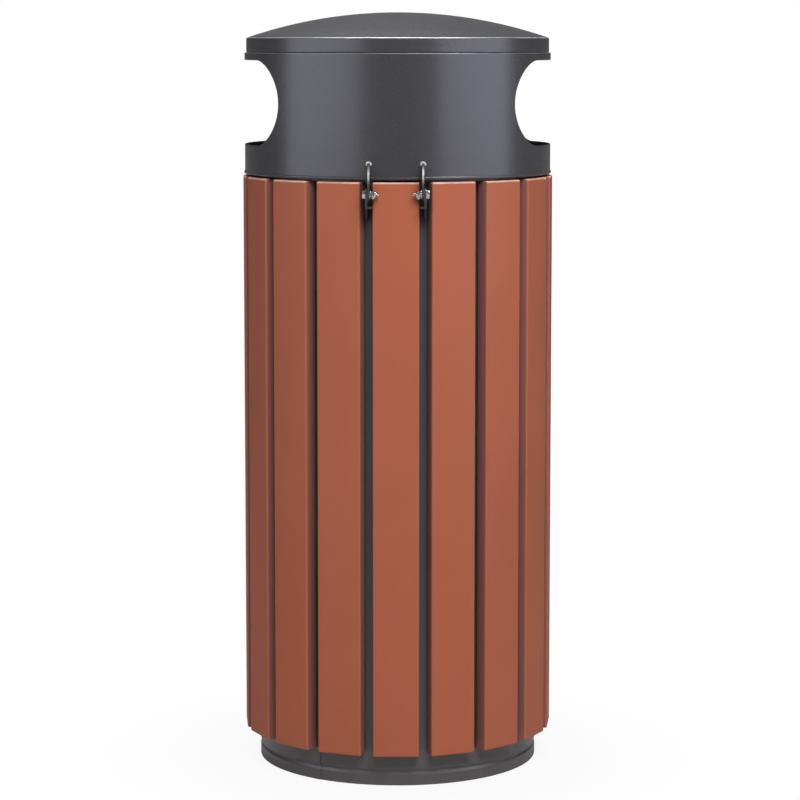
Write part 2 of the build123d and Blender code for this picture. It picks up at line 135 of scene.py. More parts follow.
def finish_mesh(name, mesh, sharp=35.0):
    """Merges equal points, turns the faces outwards, shades smooth and links the object."""
    work = bmesh.new()
    work.from_mesh(mesh)
    bmesh.ops.remove_doubles(work, verts=work.verts, dist=MERGE_DISTANCE)
    bmesh.ops.dissolve_degenerate(work, edges=work.edges, dist=THIN_EDGE)
    closed = all(edge.is_manifold for edge in work.edges)
    if closed:
        bmesh.ops.recalc_face_normals(work, faces=work.faces)
    work.to_mesh(mesh)
    work.free()
    mesh.shade_smooth()
    mesh.set_sharp_from_angle(angle=math.radians(sharp))
    piece = bpy.data.objects.new(name, mesh)
    scene.collection.objects.link(piece)
    return piece


# %% Turned shapes
def turned(name, profile, steps, closed=True):
    """Surface of revolution: each (r, z) of the profile swept round the upright axis,
    x = r sin a, y = -r cos a. A closed profile is a loop; an open one ends on the axis."""
    angle = np.linspace(0, 2 * math.pi, steps, endpoint=False)[:, None]
    radius, height = profile[:, 0][None, :], profile[:, 1][None, :]
    x, y = radius * np.sin(angle), -radius * np.cos(angle)
    grid = np.stack([x, y, np.broadcast_to(height, x.shape)], axis=-1)
    return surface(name, grid, wrap_u=True, wrap_v=closed)


# %% [markdown]
# ## Outlines with rounded corners
# Cut and pressed metal has no sharp corners. A bevel modifier can round them afterwards, but
# it guesses the corner's shape. Here an outline gets true arcs before it becomes a mesh, so
# each radius is the one that the part is made with.


# %% Rounded outlines
def rounded(corners, radii, steps=5):
    """Closed outline with each corner replaced by an arc: the arc's centre lies on the
    corner's bisector, at radius / sin(half the corner's angle) from the corner."""
    corners = np.asarray(corners, dtype=float)
    radii = np.broadcast_to(np.asarray(radii, dtype=float), (len(corners),))
    before = np.roll(corners, 1, axis=0) - corners
    after = np.roll(corners, -1, axis=0) - corners
    points = []
    for corner, back, ahead, radius in zip(corners, before, after, radii):
        back, ahead = back / np.linalg.norm(back), ahead / np.linalg.norm(ahead)
        half = math.acos(np.clip(back @ ahead, -1, 1)) / 2
        if radius <= 0 or abs(half - math.pi / 2) < 1e-4:
            points.append(corner[None])
            continue
        middle = (back + ahead) / np.linalg.norm(back + ahead)
        centre = corner + middle * radius / math.sin(half)
        start = corner + back * radius / math.tan(half) - centre
        end = corner + ahead * radius / math.tan(half) - centre
        turn = math.atan2(start[0] * end[1] - start[1] * end[0], start @ end)
        angle = np.linspace(0, turn, steps + 1)
        arc = np.stack([start[0] * np.cos(angle) - start[1] * np.sin(angle),
                        start[0] * np.sin(angle) + start[1] * np.cos(angle)], axis=-1)
        points.append(centre + arc)
    return np.concatenate(points)


def arc_points(centre, radius, start, end, steps):
    """Points on a circle from one angle to another, in degrees."""
    angle = np.radians(np.linspace(start, end, steps + 1))
    offset = radius * np.stack([np.cos(angle), np.sin(angle)], axis=-1)
    return np.asarray(centre) + offset


square = rounded([(0, 0), (1, 0), (1, 1), (0, 1)], 0.1)
print("a square with rounded corners has", len(square), "points")

# %% [markdown]
# ## Marks on a mesh, and where a piece belongs
# Bright light gathers on a rounded edge, and here that highlight is painted into the colour.
# A bevel shader node can find edges, but it is lost in an export. A number stored on each
# point is kept, so each piece carries its own "edge" number, which says where the painted
# highlight goes. A piece must also say which moving body it rides on.


# %% Reading and setting points
def mesh_points(mesh):
    """A mesh's points as an array of (x, y, z)."""
    flat = np.empty(len(mesh.vertices) * 3)
    mesh.vertices.foreach_get("co", flat)
    return flat.reshape(-1, 3)


def set_points(mesh, points):
    """Gives a mesh new points."""
    mesh.vertices.foreach_set("co", np.ascontiguousarray(points).ravel())


def points_of(piece):
    """A piece's points as an array of (x, y, z)."""
    return mesh_points(piece.data)


# %% Marking edges
def mark_painted_highlight(piece, share):
    """Stores the point attribute edge, the share of painted highlight: from 0 on a face to 1
    on a rounded edge.
    """
    attribute = piece.data.attributes.new("edge", "FLOAT", "POINT")
    attribute.data.foreach_set("value", np.clip(share, 0, 1).astype(np.float32))


# %% Putting a piece on its body
def install(piece, body, material, replaced=()):
    """Gives a piece its material, its body and the nodes that it shows."""
    piece.data.materials.clear()
    piece.data.materials.append(material)
    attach(piece, body)
    if replaced:
        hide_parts(*replaced)
    print(piece.name, "rides on", body, "with", len(piece.data.polygons), "faces")
    return piece


# %% [markdown]
# ## Shared effects
# Powder coat, textured paint and zinc differ in colour and gloss, but they share a few
# effects: a fine pebbled skin, slow drifts of tone over a large surface, and a little dust
# that settles low down. Each effect is a node group, built once and used with its own
# values. A group puts out only masks and heights; the shader stays in the material.


# %% Node helpers
def new_group(name, inputs, outputs):
    """Shader node group with named float or colour sockets."""
    group = bpy.data.node_groups.new(name, "ShaderNodeTree")
    for label, kind, value in inputs:
        socket = group.interface.new_socket(name=label, in_out="INPUT", socket_type=kind)
        socket.default_value = value
    for label, kind in outputs:
        group.interface.new_socket(name=label, in_out="OUTPUT", socket_type=kind)
    return group, group.nodes.new("NodeGroupInput"), group.nodes.new("NodeGroupOutput")


def add(tree, kind, **values):
    """A node with its properties set by name and its unlinked inputs by label."""
    node = tree.nodes.new(kind)
    for key, value in values.items():
        label = key.replace("_", " ")
        if hasattr(node, key):
            setattr(node, key, value)
        else:
            node.inputs[label].default_value = value
    return node


def math_node(tree, operation, first, second=0.5, clamp=False):
    """A Math node whose two inputs are sockets or numbers."""
    node = tree.nodes.new("ShaderNodeMath")
    node.operation = operation
    node.use_clamp = clamp
    for slot, value in zip(node.inputs, (first, second)):
        if isinstance(value, (int, float)):
            slot.default_value = value
        else:
            tree.links.new(value, slot)
    return node.outputs[0]


def remap(tree, value, from_low, from_high, to_low=0.0, to_high=1.0):
    """Map Range from one span to another, held at the ends."""
    node = tree.nodes.new("ShaderNodeMapRange")
    node.interpolation_type = "SMOOTHSTEP"
    for label, number in (("From Min", from_low), ("From Max", from_high),
                          ("To Min", to_low), ("To Max", to_high)):
        node.inputs[label].default_value = number
    tree.links.new(value, node.inputs["Value"])
    return node.outputs["Result"]


def noise(tree, vector, scale, detail=2.0, roughness=0.5):
    """Noise texture of a given scale on a vector socket."""
    node = tree.nodes.new("ShaderNodeTexNoise")
    node.inputs["Scale"].default_value = scale
    node.inputs["Detail"].default_value = detail
    node.inputs["Roughness"].default_value = roughness
    tree.links.new(vector, node.inputs["Vector"])
    return node.outputs["Fac"]


def blend_colour(tree, factor, first, second):
    """Mix of two colours, each given as a socket or as three numbers."""
    node = tree.nodes.new("ShaderNodeMix")
    node.data_type = "RGBA"
    tree.links.new(factor, node.inputs["Factor"])
    for label, value in (("A", first), ("B", second)):
        if isinstance(value, tuple):
            node.inputs[label].default_value = (*value, 1)
        else:
            tree.links.new(value, node.inputs[label])
    return node.outputs["Result"]


# %% New materials and relief
def new_material(name):
    """A material with its node tree and its Principled shader."""
    material = bpy.data.materials.new(name)
    material.use_nodes = True
    return material, material.node_tree, material.node_tree.nodes["Principled BSDF"]


def object_place(tree):
    """Object coordinates, which stay with the piece when it moves."""
    return tree.nodes.new("ShaderNodeTexCoord").outputs["Object"]


def add_relief(tree, shader, height, strength, distance):
    """Bump from a height socket into the shader's normal."""
    relief = add(tree, "ShaderNodeBump", Strength=strength, Distance=distance)
    tree.links.new(height, relief.inputs["Height"])
    tree.links.new(relief.outputs["Normal"], shader.inputs["Normal"])


# %% Group: pebbled skin
def make_pebbled_skin():
    """Height of a sprayed coat: fine grains over a slower orange-peel wave."""
    group, source, result = new_group(
        "pebbled_skin",
        [("Grain Scale", "NodeSocketFloat", 2500.0), ("Wave Scale", "NodeSocketFloat", 420.0),
         ("Grain Share", "NodeSocketFloat", 0.5)],
        [("Height", "NodeSocketFloat"), ("Grain", "NodeSocketFloat")])
    place = object_place(group)
    grains = add(group, "ShaderNodeTexNoise", Detail=1.5)
    waves = add(group, "ShaderNodeTexNoise", Detail=1.0)
    for texture, label in ((grains, "Grain Scale"), (waves, "Wave Scale")):
        group.links.new(place, texture.inputs["Vector"])
        group.links.new(source.outputs[label], texture.inputs["Scale"])
    share = source.outputs["Grain Share"]
    fine = math_node(group, "MULTIPLY", grains.outputs["Fac"], share)
    rest = math_node(group, "SUBTRACT", 1.0, share)
    slow = math_node(group, "MULTIPLY", waves.outputs["Fac"], rest)
    group.links.new(math_node(group, "ADD", fine, slow), result.inputs["Height"])
    group.links.new(grains.outputs["Fac"], result.inputs["Grain"])
    return group


pebbled_skin = make_pebbled_skin()
print("group", pebbled_skin.name, "has", len(pebbled_skin.nodes), "nodes")

# %% [markdown]
# ## Drift of tone and dust
# No large painted face has one even colour. Slow clouds shift its tone a little, and dust
# settles near the floor and on faces that look up. A painted map could show both, but a mask
# from the position and the normal needs no map and fits any piece. On the drum the dust near
# the floor is also painted light, which lifts the plinth out of the slats' shade.


# %% Group: drift of tone
def make_tone_drift():
    """Slow clouds over a surface, and a dust mask that is strongest near the floor and on
    faces that look up."""
    group, source, result = new_group(
        "tone_drift",
        [("Cloud Scale", "NodeSocketFloat", 5.0), ("Dust Height", "NodeSocketFloat", 0.25)],
        [("Clouds", "NodeSocketFloat"), ("Dust", "NodeSocketFloat")])
    place = object_place(group)
    clouds = add(group, "ShaderNodeTexNoise", Detail=4.0, Roughness=0.6)
    group.links.new(place, clouds.inputs["Vector"])
    group.links.new(source.outputs["Cloud Scale"], clouds.inputs["Scale"])
    group.links.new(clouds.outputs["Fac"], result.inputs["Clouds"])
    parts = group.nodes.new("ShaderNodeSeparateXYZ")
    group.links.new(place, parts.inputs["Vector"])
    level = math_node(group, "DIVIDE", parts.outputs["Z"], source.outputs["Dust Height"])
    near_floor = math_node(group, "SUBTRACT", 1.0, level, clamp=True)
    facing = group.nodes.new("ShaderNodeSeparateXYZ")
    normal = group.nodes.new("ShaderNodeNewGeometry").outputs["Normal"]
    group.links.new(normal, facing.inputs["Vector"])
    upward = remap(group, facing.outputs["Z"], 0.5, 1.0, 0.0, 0.35)
    speckle = remap(group, noise(group, place, 60.0, 6.0, 0.7), 0.3, 0.8, 0.6, 1.0)
    both = math_node(group, "MAXIMUM", near_floor, upward)
    group.links.new(math_node(group, "MULTIPLY", both, speckle), result.inputs["Dust"])
    return group


tone_drift = make_tone_drift()
print("group", tone_drift.name, "has", len(tone_drift.nodes), "nodes")


# %% [markdown]
# ## Painted finishes
# The head and the drum have a satin powder coat in dark grey. Its gloss is soft, so a
# softbox shows as a broad pale zone with a blurred edge. The slats have a terracotta paint
# with a finer, drier texture. The head, the hinges and the slats get a painted highlight: a
# lighter colour on their edges, from the "edge" number on the mesh. The slats' sides, the
# flanks, get painted shade: a darker, duller colour from their own number. A painted image
# could show all this, but it would have to be drawn again for each piece, and these layers
# follow any mesh that carries the numbers.


# %% Layers of paint
DUST_AND_PAINTED_LIGHT_COLOUR = (0.33, 0.30, 0.27)
GRAIN_WEIGHT, CLOUD_WEIGHT = 0.6, 0.4
HIGHLIGHT_START = 0.06                      # edge numbers below this get no painted highlight


def drifting_colour(tree, colour, drift, skin, tone):
    """Colour times 1 - drift to 1 + drift; 0.6 of the share follows the grain and 0.4 the
    clouds."""
    clouds = remap(tree, tone.outputs["Clouds"], 0.3, 0.7)
    grain = remap(tree, skin.outputs["Grain"], 0.3, 0.7)
    mottle = math_node(tree, "MULTIPLY", grain, GRAIN_WEIGHT)
    spread = math_node(tree, "MULTIPLY", clouds, CLOUD_WEIGHT)
    return blend_colour(tree, math_node(tree, "ADD", mottle, spread),
                        tuple(channel * (1 - drift) for channel in colour),
                        tuple(channel * (1 + drift) for channel in colour))


def flank_shade_layer(tree, below, flank_shade_colour):
    """Painted shade: a darker colour over the paint on the flanks, by the mesh's flank number."""
    flank = add(tree, "ShaderNodeAttribute", attribute_name="flank")
    return blend_colour(tree, flank.outputs["Fac"], below, flank_shade_colour)


def painted_highlight_layer(tree, below, highlight_colour):
    """A painted highlight: a lighter colour on the edges, by the mesh's edge number times
    patchy noise.
    """
    edge = add(tree, "ShaderNodeAttribute", attribute_name="edge")
    patches = remap(tree, noise(tree, object_place(tree), 35.0, 5.0, 0.65), 0.25, 0.8, 0.35, 1.0)
    highlight_share = remap(tree, edge.outputs["Fac"], HIGHLIGHT_START, 1.0)
    return blend_colour(tree, math_node(tree, "MULTIPLY", highlight_share, patches), below, highlight_colour)


# %% Painted material
def painted(name, colour, roughness, bump, grain, drift=0.08, dust_and_painted_light=0.0, shine=0.5,
            highlight_colour=None, flank_shade_colour=None):
    """Principled paint: base colour drifts with clouds, takes a painted highlight on the edges,
    painted shade on the flanks, and dust, which on the drum is also painted light; roughness
    follows the grain; the bump is the pebbled skin. grain holds the grain's scale, the wave's
    scale and the grain's share."""
    material, tree, shader = new_material(name)
    shader.inputs["Specular IOR Level"].default_value = shine
    skin = add(tree, "ShaderNodeGroup", node_tree=pebbled_skin)
    for label, value in zip(("Grain Scale", "Wave Scale", "Grain Share"), grain):
        skin.inputs[label].default_value = value
    tone = add(tree, "ShaderNodeGroup", node_tree=tone_drift)
    paint = drifting_colour(tree, colour, drift, skin, tone)
    if flank_shade_colour:
        paint = flank_shade_layer(tree, paint, flank_shade_colour)
    if highlight_colour:
        paint = painted_highlight_layer(tree, paint, highlight_colour)
    # Dust over the paint; on the drum its lighter colour near the floor is also painted light.
    dust_and_painted_light_share = math_node(tree, "MULTIPLY", tone.outputs["Dust"], dust_and_painted_light)
    tree.links.new(blend_colour(tree, dust_and_painted_light_share, paint, DUST_AND_PAINTED_LIGHT_COLOUR), shader.inputs["Base Color"])
    gloss = remap(tree, skin.outputs["Grain"], 0.3, 0.7, roughness - 0.05, roughness + 0.06)
    tree.links.new(gloss, shader.inputs["Roughness"])
    add_relief(tree, shader, skin.outputs["Height"], bump, 0.0002)
    print("paint", name, "roughness", roughness)
    return material


# Each edge colour below is a painted highlight on the edges that carry an edge number.
head_paint = painted("head_paint", (0.053, 0.051, 0.058), 0.29, 0.14, (1500.0, 420.0, 0.35),
                     dust_and_painted_light=0.04, highlight_colour=(0.62, 0.62, 0.64))
# The drum's strong dust is also painted light on the plinth, which lies in the slats' shade.
drum_paint = painted("drum_paint", (0.076, 0.074, 0.079), 0.36, 0.18, (1500.0, 420.0, 0.4),
                     dust_and_painted_light=0.16)
# The slats' flank colour is painted shade on their sides.
slat_paint = painted("slat_paint", (0.472, 0.130, 0.065), 0.60, 0.35, (1900.0, 700.0, 0.7),
                     dust_and_painted_light=0.01, shine=0.2, highlight_colour=(1.00, 0.70, 0.58),
                     flank_shade_colour=(0.26, 0.115, 0.10))
hinge_paint = painted("hinge_paint", (0.045, 0.045, 0.049), 0.18, 0.08, (1500.0, 420.0, 0.3),
                      dust_and_painted_light=0.02, highlight_colour=(0.95, 0.95, 0.97))

# %% [markdown]
# ## Metal finishes
# The bolts, nuts and washers are zinc plated: bright, slightly blue, with fine turning
# marks. The liner is hot-dip galvanised, and zinc that cools on sheet freezes in flat
# crystals, each of which takes the light at its own angle. Voronoi cells give that spangle.


# %% Plated metal
def plated(name, colour, roughness, mark_scale, mark_bump):
    """Metal with slight blotches in its tint and gloss, and fine marks as bump."""
    material, tree, shader = new_material(name)
    shader.inputs["Metallic"].default_value = 1.0
    place = object_place(tree)
    blotches = remap(tree, noise(tree, place, 180.0, 4.0, 0.6), 0.3, 0.7)
    darker = tuple(channel * 0.82 for channel in colour)
    tree.links.new(blend_colour(tree, blotches, darker, colour), shader.inputs["Base Color"])
    gloss = remap(tree, blotches, 0, 1, roughness * 0.75, roughness * 1.3)
    tree.links.new(gloss, shader.inputs["Roughness"])
    add_relief(tree, shader, noise(tree, place, mark_scale, 3.0), mark_bump, 0.0001)
    return material


zinc = plated("zinc", (0.60, 0.61, 0.62), 0.17, 1800.0, 0.12)
lock_metal = plated("lock_metal", (0.74, 0.74, 0.75), 0.16, 2600.0, 0.08)
print("plated:", zinc.name, lock_metal.name)


# %% Galvanised metal
def spangled(name, colour, roughness, cell_scale):
    """Galvanised sheet: each Voronoi cell has its own grey, gloss and slight tilt."""
    material, tree, shader = new_material(name)
    shader.inputs["Metallic"].default_value = 1.0
    place = object_place(tree)
    cells = add(tree, "ShaderNodeTexVoronoi", Scale=cell_scale, Randomness=1.0)
    tree.links.new(place, cells.inputs["Vector"])
    parts = tree.nodes.new("ShaderNodeSeparateColor")
    tree.links.new(cells.outputs["Color"], parts.inputs["Color"])
    frost = math_node(tree, "MULTIPLY", noise(tree, place, cell_scale * 6, 5.0, 0.7), 0.5)
    share = math_node(tree, "MULTIPLY", parts.outputs["Red"], 0.6)
    tint = blend_colour(tree, math_node(tree, "ADD", share, frost, clamp=True),
                        tuple(channel * 0.62 for channel in colour), colour)
    tree.links.new(tint, shader.inputs["Base Color"])
    gloss = remap(tree, parts.outputs["Green"], 0, 1, roughness - 0.1, roughness + 0.12)
    tree.links.new(gloss, shader.inputs["Roughness"])
    add_relief(tree, shader, parts.outputs["Blue"], 0.25, 0.0003)
    return material


galvanised = spangled("galvanised", (0.60, 0.62, 0.64), 0.42, 95.0)
handle_wire = spangled("handle_wire", (0.62, 0.64, 0.66), 0.36, 400.0)
print("spangled:", galvanised.name, handle_wire.name)

# %% [markdown]
# ## The slats
# Each slat is a flat bar, 57 mm wide and 18 mm deep, with softly rounded long edges and
# rounded ends. The section is a rounded rectangle. Near an end the section shrinks along a
# quarter circle, which rounds the end the same way as the long edges. A box with a bevel
# would do, but here the bar also carries an "edge" number, which the paint reads as a painted
# highlight, and a flank number for painted shade on its sides.

# %% Slat sizes
SLAT_COUNT = 17
SLAT_WIDTH = float(high("slat_01")[0] - low("slat_01")[0])
SLAT_DEPTH = float(high("slat_01")[1] - low("slat_01")[1])
SLAT_EDGE_RADIUS = 2.5 * MM
SLAT_END_RADIUS = 2.0 * MM
SLAT_ROWS = 50
DRUM_RADIUS = float(high("drum_shell")[0] * 0.5 - low("drum_shell")[0] * 0.5)
DRUM_NOMINAL = 180 * MM
SLAT_SEAT = float(-low("slat_01")[1] - SLAT_DEPTH) - DRUM_NOMINAL
SLAT_CIRCLE = DRUM_RADIUS + SLAT_SEAT + SLAT_DEPTH / 2
print("slat", round(SLAT_WIDTH / MM, 1), "mm wide and", round(SLAT_DEPTH / MM, 1), "mm deep")


# %% Section and rows of a slat
def slat_rows(bottom, top):
    """Heights of the rows and how far each row's section is drawn in. Near an end, with t
    over a quarter circle, height is r (1 - cos t) from the end and the inset r (1 - sin t)."""
    quarter = np.linspace(0, math.pi / 2, 6)
    inset = SLAT_END_RADIUS * (1 - np.sin(quarter))
    rise = SLAT_END_RADIUS * (1 - np.cos(quarter))
    near_end = np.array([0.6, 1.5, 4.0]) * MM + SLAT_END_RADIUS
    body = np.linspace(bottom + 20 * MM, top - 20 * MM, SLAT_ROWS)
    middle = np.concatenate([bottom + near_end, body, top - near_end[::-1]])
    heights = np.concatenate([bottom + rise, middle, (top - rise)[::-1]])
    return heights, np.concatenate([inset, np.zeros(len(middle)), inset[::-1]])


def slat_section(shrink):
    """Rounded rectangle of the slat's width and depth, drawn in on all sides by shrink."""
    across, deep = SLAT_WIDTH / 2 - shrink, SLAT_DEPTH / 2 - shrink
    corners = [(-across, -deep), (across, -deep), (across, deep), (-across, deep)]
    return rounded(corners, max(SLAT_EDGE_RADIUS - shrink, 0.3 * MM), 6)


print("a slat's section has", len(slat_section(0)), "points")


# %% Painted highlight and painted shade on a slat
EDGE_REACH = 4.0 * MM                  # how far the long edges' mark fades inwards
TOP_REACH = 2.0 * MM                   # the same at the upper end
LONG_EDGE_SHARE = 0.25
FLANK_REACH = 0.6 * MM


def mark_slat(piece, turn, top):
    """Number edge, a painted highlight, is 1 on the rounded top end and fades down the long
    outer edges; number flank is 1 on the two sides of the bar, where painted shade darkens
    the paint."""
    points = points_of(piece)
    across = points[:, 0] * math.cos(turn) + points[:, 1] * math.sin(turn)
    out = points[:, 0] * math.sin(turn) - points[:, 1] * math.cos(turn) - SLAT_CIRCLE
    side = SLAT_WIDTH / 2 - np.abs(across)
    front = SLAT_DEPTH / 2 - out
    long_edge = 1 - (np.abs(side) + np.abs(front)) / EDGE_REACH
    top_edge = 1.4 - (0.5 * np.abs(front) + top - points[:, 2]) / TOP_REACH
    mark_painted_highlight(piece, np.maximum(LONG_EDGE_SHARE * np.clip(long_edge, 0, 1),
                                np.clip(top_edge, 0, 1)))
    flank = np.clip(1 - side / FLANK_REACH, 0, 1) * np.clip(front / (3 * MM), 0, 1)
    shade = piece.data.attributes.new("flank", "FLOAT", "POINT")
    shade.data.foreach_set("value", flank.astype(np.float32))


# %% Slats round the drum
def slat_piece(node, turn):
    """Every row's section, turned by its angle round the drum's axis."""
    bottom, top = low(node)[2], high(node)[2]
    heights, insets = slat_rows(bottom, top)
    section = np.array([slat_section(shrink) for shrink in insets])
    across, deep = section[..., 0], section[..., 1]
    x = SLAT_CIRCLE * math.sin(turn) + across * math.cos(turn) - deep * math.sin(turn)
    y = -SLAT_CIRCLE * math.cos(turn) + across * math.sin(turn) + deep * math.cos(turn)
    z = np.broadcast_to(heights[:, None], x.shape)
    piece = surface(node + "_bar", np.stack([x, y, z], axis=-1), wrap_v=True, caps=True, sharp=50)
    mark_slat(piece, turn, top)
    return piece


for number in range(SLAT_COUNT):
    node = f"slat_{number + 1:02d}"
    bar = slat_piece(node, math.radians(number * 360 / SLAT_COUNT))
    install(bar, "drum", slat_paint, [node])

# %% [markdown]
# ## The drum
# The drum is one rolled sheet. Its section is a thin loop: up the outside, over a rounded
# edge, down the inside. A groove is swaged into the plinth, and its lips are soft, so the
# section uses one wave of a cosine there. The lapped edge of the sheet follows that groove.

# %% Drum sizes
GROOVE_MIDDLE, GROOVE_WIDTH, GROOVE_DEPTH = 17.5 * MM, 9.0 * MM, 2.0 * MM
DRUM_SHEET = 1.5 * MM
DRUM_TOP = float(high("drum_shell")[2])
print("drum", round(DRUM_TOP / MM, 1), "mm high, radius", round(DRUM_RADIUS / MM, 1), "mm")


# %% Drum sheet
def groove_depth(height):
    """One cosine wave: deepest at the groove's middle, zero at its two lips."""
    phase = np.clip((height - GROOVE_MIDDLE) / GROOVE_WIDTH, -0.5, 0.5)
    return GROOVE_DEPTH * (0.5 + 0.5 * np.cos(2 * math.pi * phase))


def drum_section():
    """Closed section of the upright sheet with rounded ends, set back by the groove."""
    edge = DRUM_SHEET / 2
    groove_end = GROOVE_MIDDLE + GROOVE_WIDTH
    heights = np.concatenate([np.linspace(edge, groove_end, 40),
                              np.linspace(groove_end, DRUM_TOP - edge, 40)[1:]])
    centre = DRUM_RADIUS - edge
    outside = np.stack([DRUM_RADIUS - groove_depth(heights), heights], axis=-1)
    crown = arc_points((centre, DRUM_TOP - edge), edge, 0, 180, 8)[1:-1]
    inside = np.stack([DRUM_RADIUS - DRUM_SHEET - groove_depth(heights), heights], axis=-1)[::-1]
    foot = arc_points((centre, edge), edge, 180, 360, 8)[1:-1]
    return np.concatenate([outside, crown, inside, foot])


install(turned("drum_sheet", drum_section(), 288), "drum", drum_paint,
        ["drum_shell"])

# %% [markdown]
# ## The lapped seam
# The drum's sheet meets in one upright lap, which shows as a thin raised strip. The strip is
# bent round the drum and dips with the groove, so its grid takes both from the drum's own
# numbers. A straight box pushed on to the drum would float over the groove.


# %% Seam strip
SEAM_WIDTH, SEAM_THICK = 10.0 * MM, 0.9 * MM
seam_middle = (low("drum_seam") + high("drum_seam")) / 2
SEAM_ANGLE = math.atan2(seam_middle[0], -seam_middle[1])


def seam_piece():
    """Strip bent round the drum: at each height its rounded section sits on the sheet,
    moved in by the groove."""
    bottom, top = low("drum_seam")[2], high("drum_seam")[2]
    half = SEAM_WIDTH / 2
    flat = rounded([(-half, 0), (half, 0), (half, SEAM_THICK), (-half, SEAM_THICK)], 0.4 * MM, 4)
    heights = np.concatenate([np.linspace(bottom, 2 * GROOVE_MIDDLE, 40),
                              np.linspace(2 * GROOVE_MIDDLE, top, 40)[1:]])
    radius = DRUM_RADIUS + flat[:, 1][None, :] - groove_depth(heights)[:, None]
    angle = SEAM_ANGLE + flat[:, 0][None, :] / DRUM_RADIUS
    grid = np.stack([radius * np.sin(angle), -radius * np.cos(angle),
                     np.broadcast_to(heights[:, None], radius.shape)], axis=-1)
    return surface("drum_seam_strip", grid, wrap_v=True, caps=True, sharp=60)


install(seam_piece(), "drum", drum_paint, ["drum_seam"])

# %% Rim hoop
HOOP_SHEET = 3 * MM
hoop_low, hoop_high = low("rim_hoop"), high("rim_hoop")
hoop_out, hoop_in = hoop_high[0], hoop_high[0] - HOOP_SHEET
hoop_section = rounded([(hoop_in, hoop_low[2]), (hoop_out, hoop_low[2]),
                        (hoop_out, hoop_high[2]), (hoop_in, hoop_high[2])], 0.8 * MM, 4)
install(turned("rim_hoop_band", hoop_section, 192), "drum", drum_paint,
        ["rim_hoop"])

# %% [markdown]
# ## The head wall
# The wall is rolled sheet with two wide openings. A boolean cut would leave long thin faces,
# which ripple in a reflection. A flat pattern works better: columns run round the wall and
# rows run up it. Inside an opening the rows of the lower band stop at the opening's lower
# edge, and the rows of the upper band start at its upper edge. The ends of an opening are
# half ellipses, so the columns there are spaced as a sine, which gives even steps along the
# curve. Every point lies exactly on the cylinder, so the reflections stay smooth.

# %% Head wall sizes
WALL_RADIUS = float(high("head_wall")[0])
WALL_SHEET = 1.5 * MM
WALL_HALF = WALL_SHEET / 2
WALL_CENTRE = WALL_RADIUS - WALL_HALF
WALL_TOP = float(high("head_wall")[2])
LIP_RADIUS = 2.0 * MM
LIP_Z = float(low("head_wall")[2]) + LIP_RADIUS
WALL_FOOT = LIP_Z + math.sqrt(LIP_RADIUS ** 2 - WALL_HALF ** 2)
WALL_MIDDLE, OPEN_HEIGHT = 852.0 * MM, 106.8 * MM
OPEN_STRAIGHT, OPEN_END = 85.6 * MM, 44.2 * MM
LOCK_HOLE, LOCK_PATCH = 9.1 * MM, 14.0 * MM
LOCK_Z = float((low("lock_body")[2] + high("lock_body")[2]) / 2)
print("head wall from", round(WALL_FOOT / MM, 1), "to", round(WALL_TOP / MM, 1), "mm")


# %% Columns round the wall
def wall_columns():
    """Column angles round the wall from +X, with a reach that is 1 over an opening's straight
    part, falls to 0 over its rounded end and is -1 outside it. The angle at sideways
    distance y is asin(y / radius)."""
    end = np.linspace(0, math.pi / 2, 17)
    across = np.concatenate([np.linspace(0, OPEN_STRAIGHT, 24)[:-1],
                             OPEN_STRAIGHT + (OPEN_END + WALL_HALF) * np.sin(end)])
    reach = np.concatenate([np.ones(23), np.cos(end)])
    across = np.concatenate([-across[:0:-1], across])
    reach = np.concatenate([reach[:0:-1], reach])
    over_opening = np.arcsin(across / WALL_RADIUS)
    last, lock_half = over_opening[-1], LOCK_PATCH / WALL_RADIUS
    quarter_turn = math.pi / 2
    post = np.concatenate([np.linspace(last, quarter_turn - lock_half, 24)[1:],
                           np.linspace(quarter_turn - lock_half, quarter_turn + lock_half, 13)[1:],
                           np.linspace(quarter_turn + lock_half, math.pi - last, 24)[1:-1]])
    angle = np.concatenate([over_opening, post, over_opening + math.pi, post + math.pi])
    outside = np.full(len(post), -1.0)
    return angle, np.concatenate([reach, outside, reach, outside])


columns, reach = wall_columns()
opened = np.clip(reach, 0, 1)
lock_column = np.abs(columns - math.pi / 2) < LOCK_PATCH / WALL_RADIUS * 1.001
print(len(columns), "columns round the wall,", int(lock_column.sum()), "of them at the lock")


# %% Rows up the wall
def wall_rows():
    """Heights of the lower band as fractions, with a square patch kept for the lock, and the
    patch's first and last row."""
    span = WALL_MIDDLE - WALL_FOOT
    first = (LOCK_Z - LOCK_PATCH - WALL_FOOT) / span
    second = (LOCK_Z + LOCK_PATCH - WALL_FOOT) / span
    below, patch = np.linspace(0, first, 4), np.linspace(first, second, 13)[1:]
    above = np.linspace(second, 1, 14)[1:]
    return np.concatenate([below, patch, above]), len(below) - 1, len(below) + len(patch) - 1


fractions, patch_from, patch_to = wall_rows()
UPPER_ROWS = 16
print(len(fractions), "rows below the openings' middle, lock patch rows", patch_from, patch_to)


# %% Skins of the wall
def wall_point(angle, height, radius):
    """Point on a cylinder at an angle from +X."""
    x, y = radius * np.cos(angle), radius * np.sin(angle)
    return np.stack(np.broadcast_arrays(x, y, height), axis=-1)


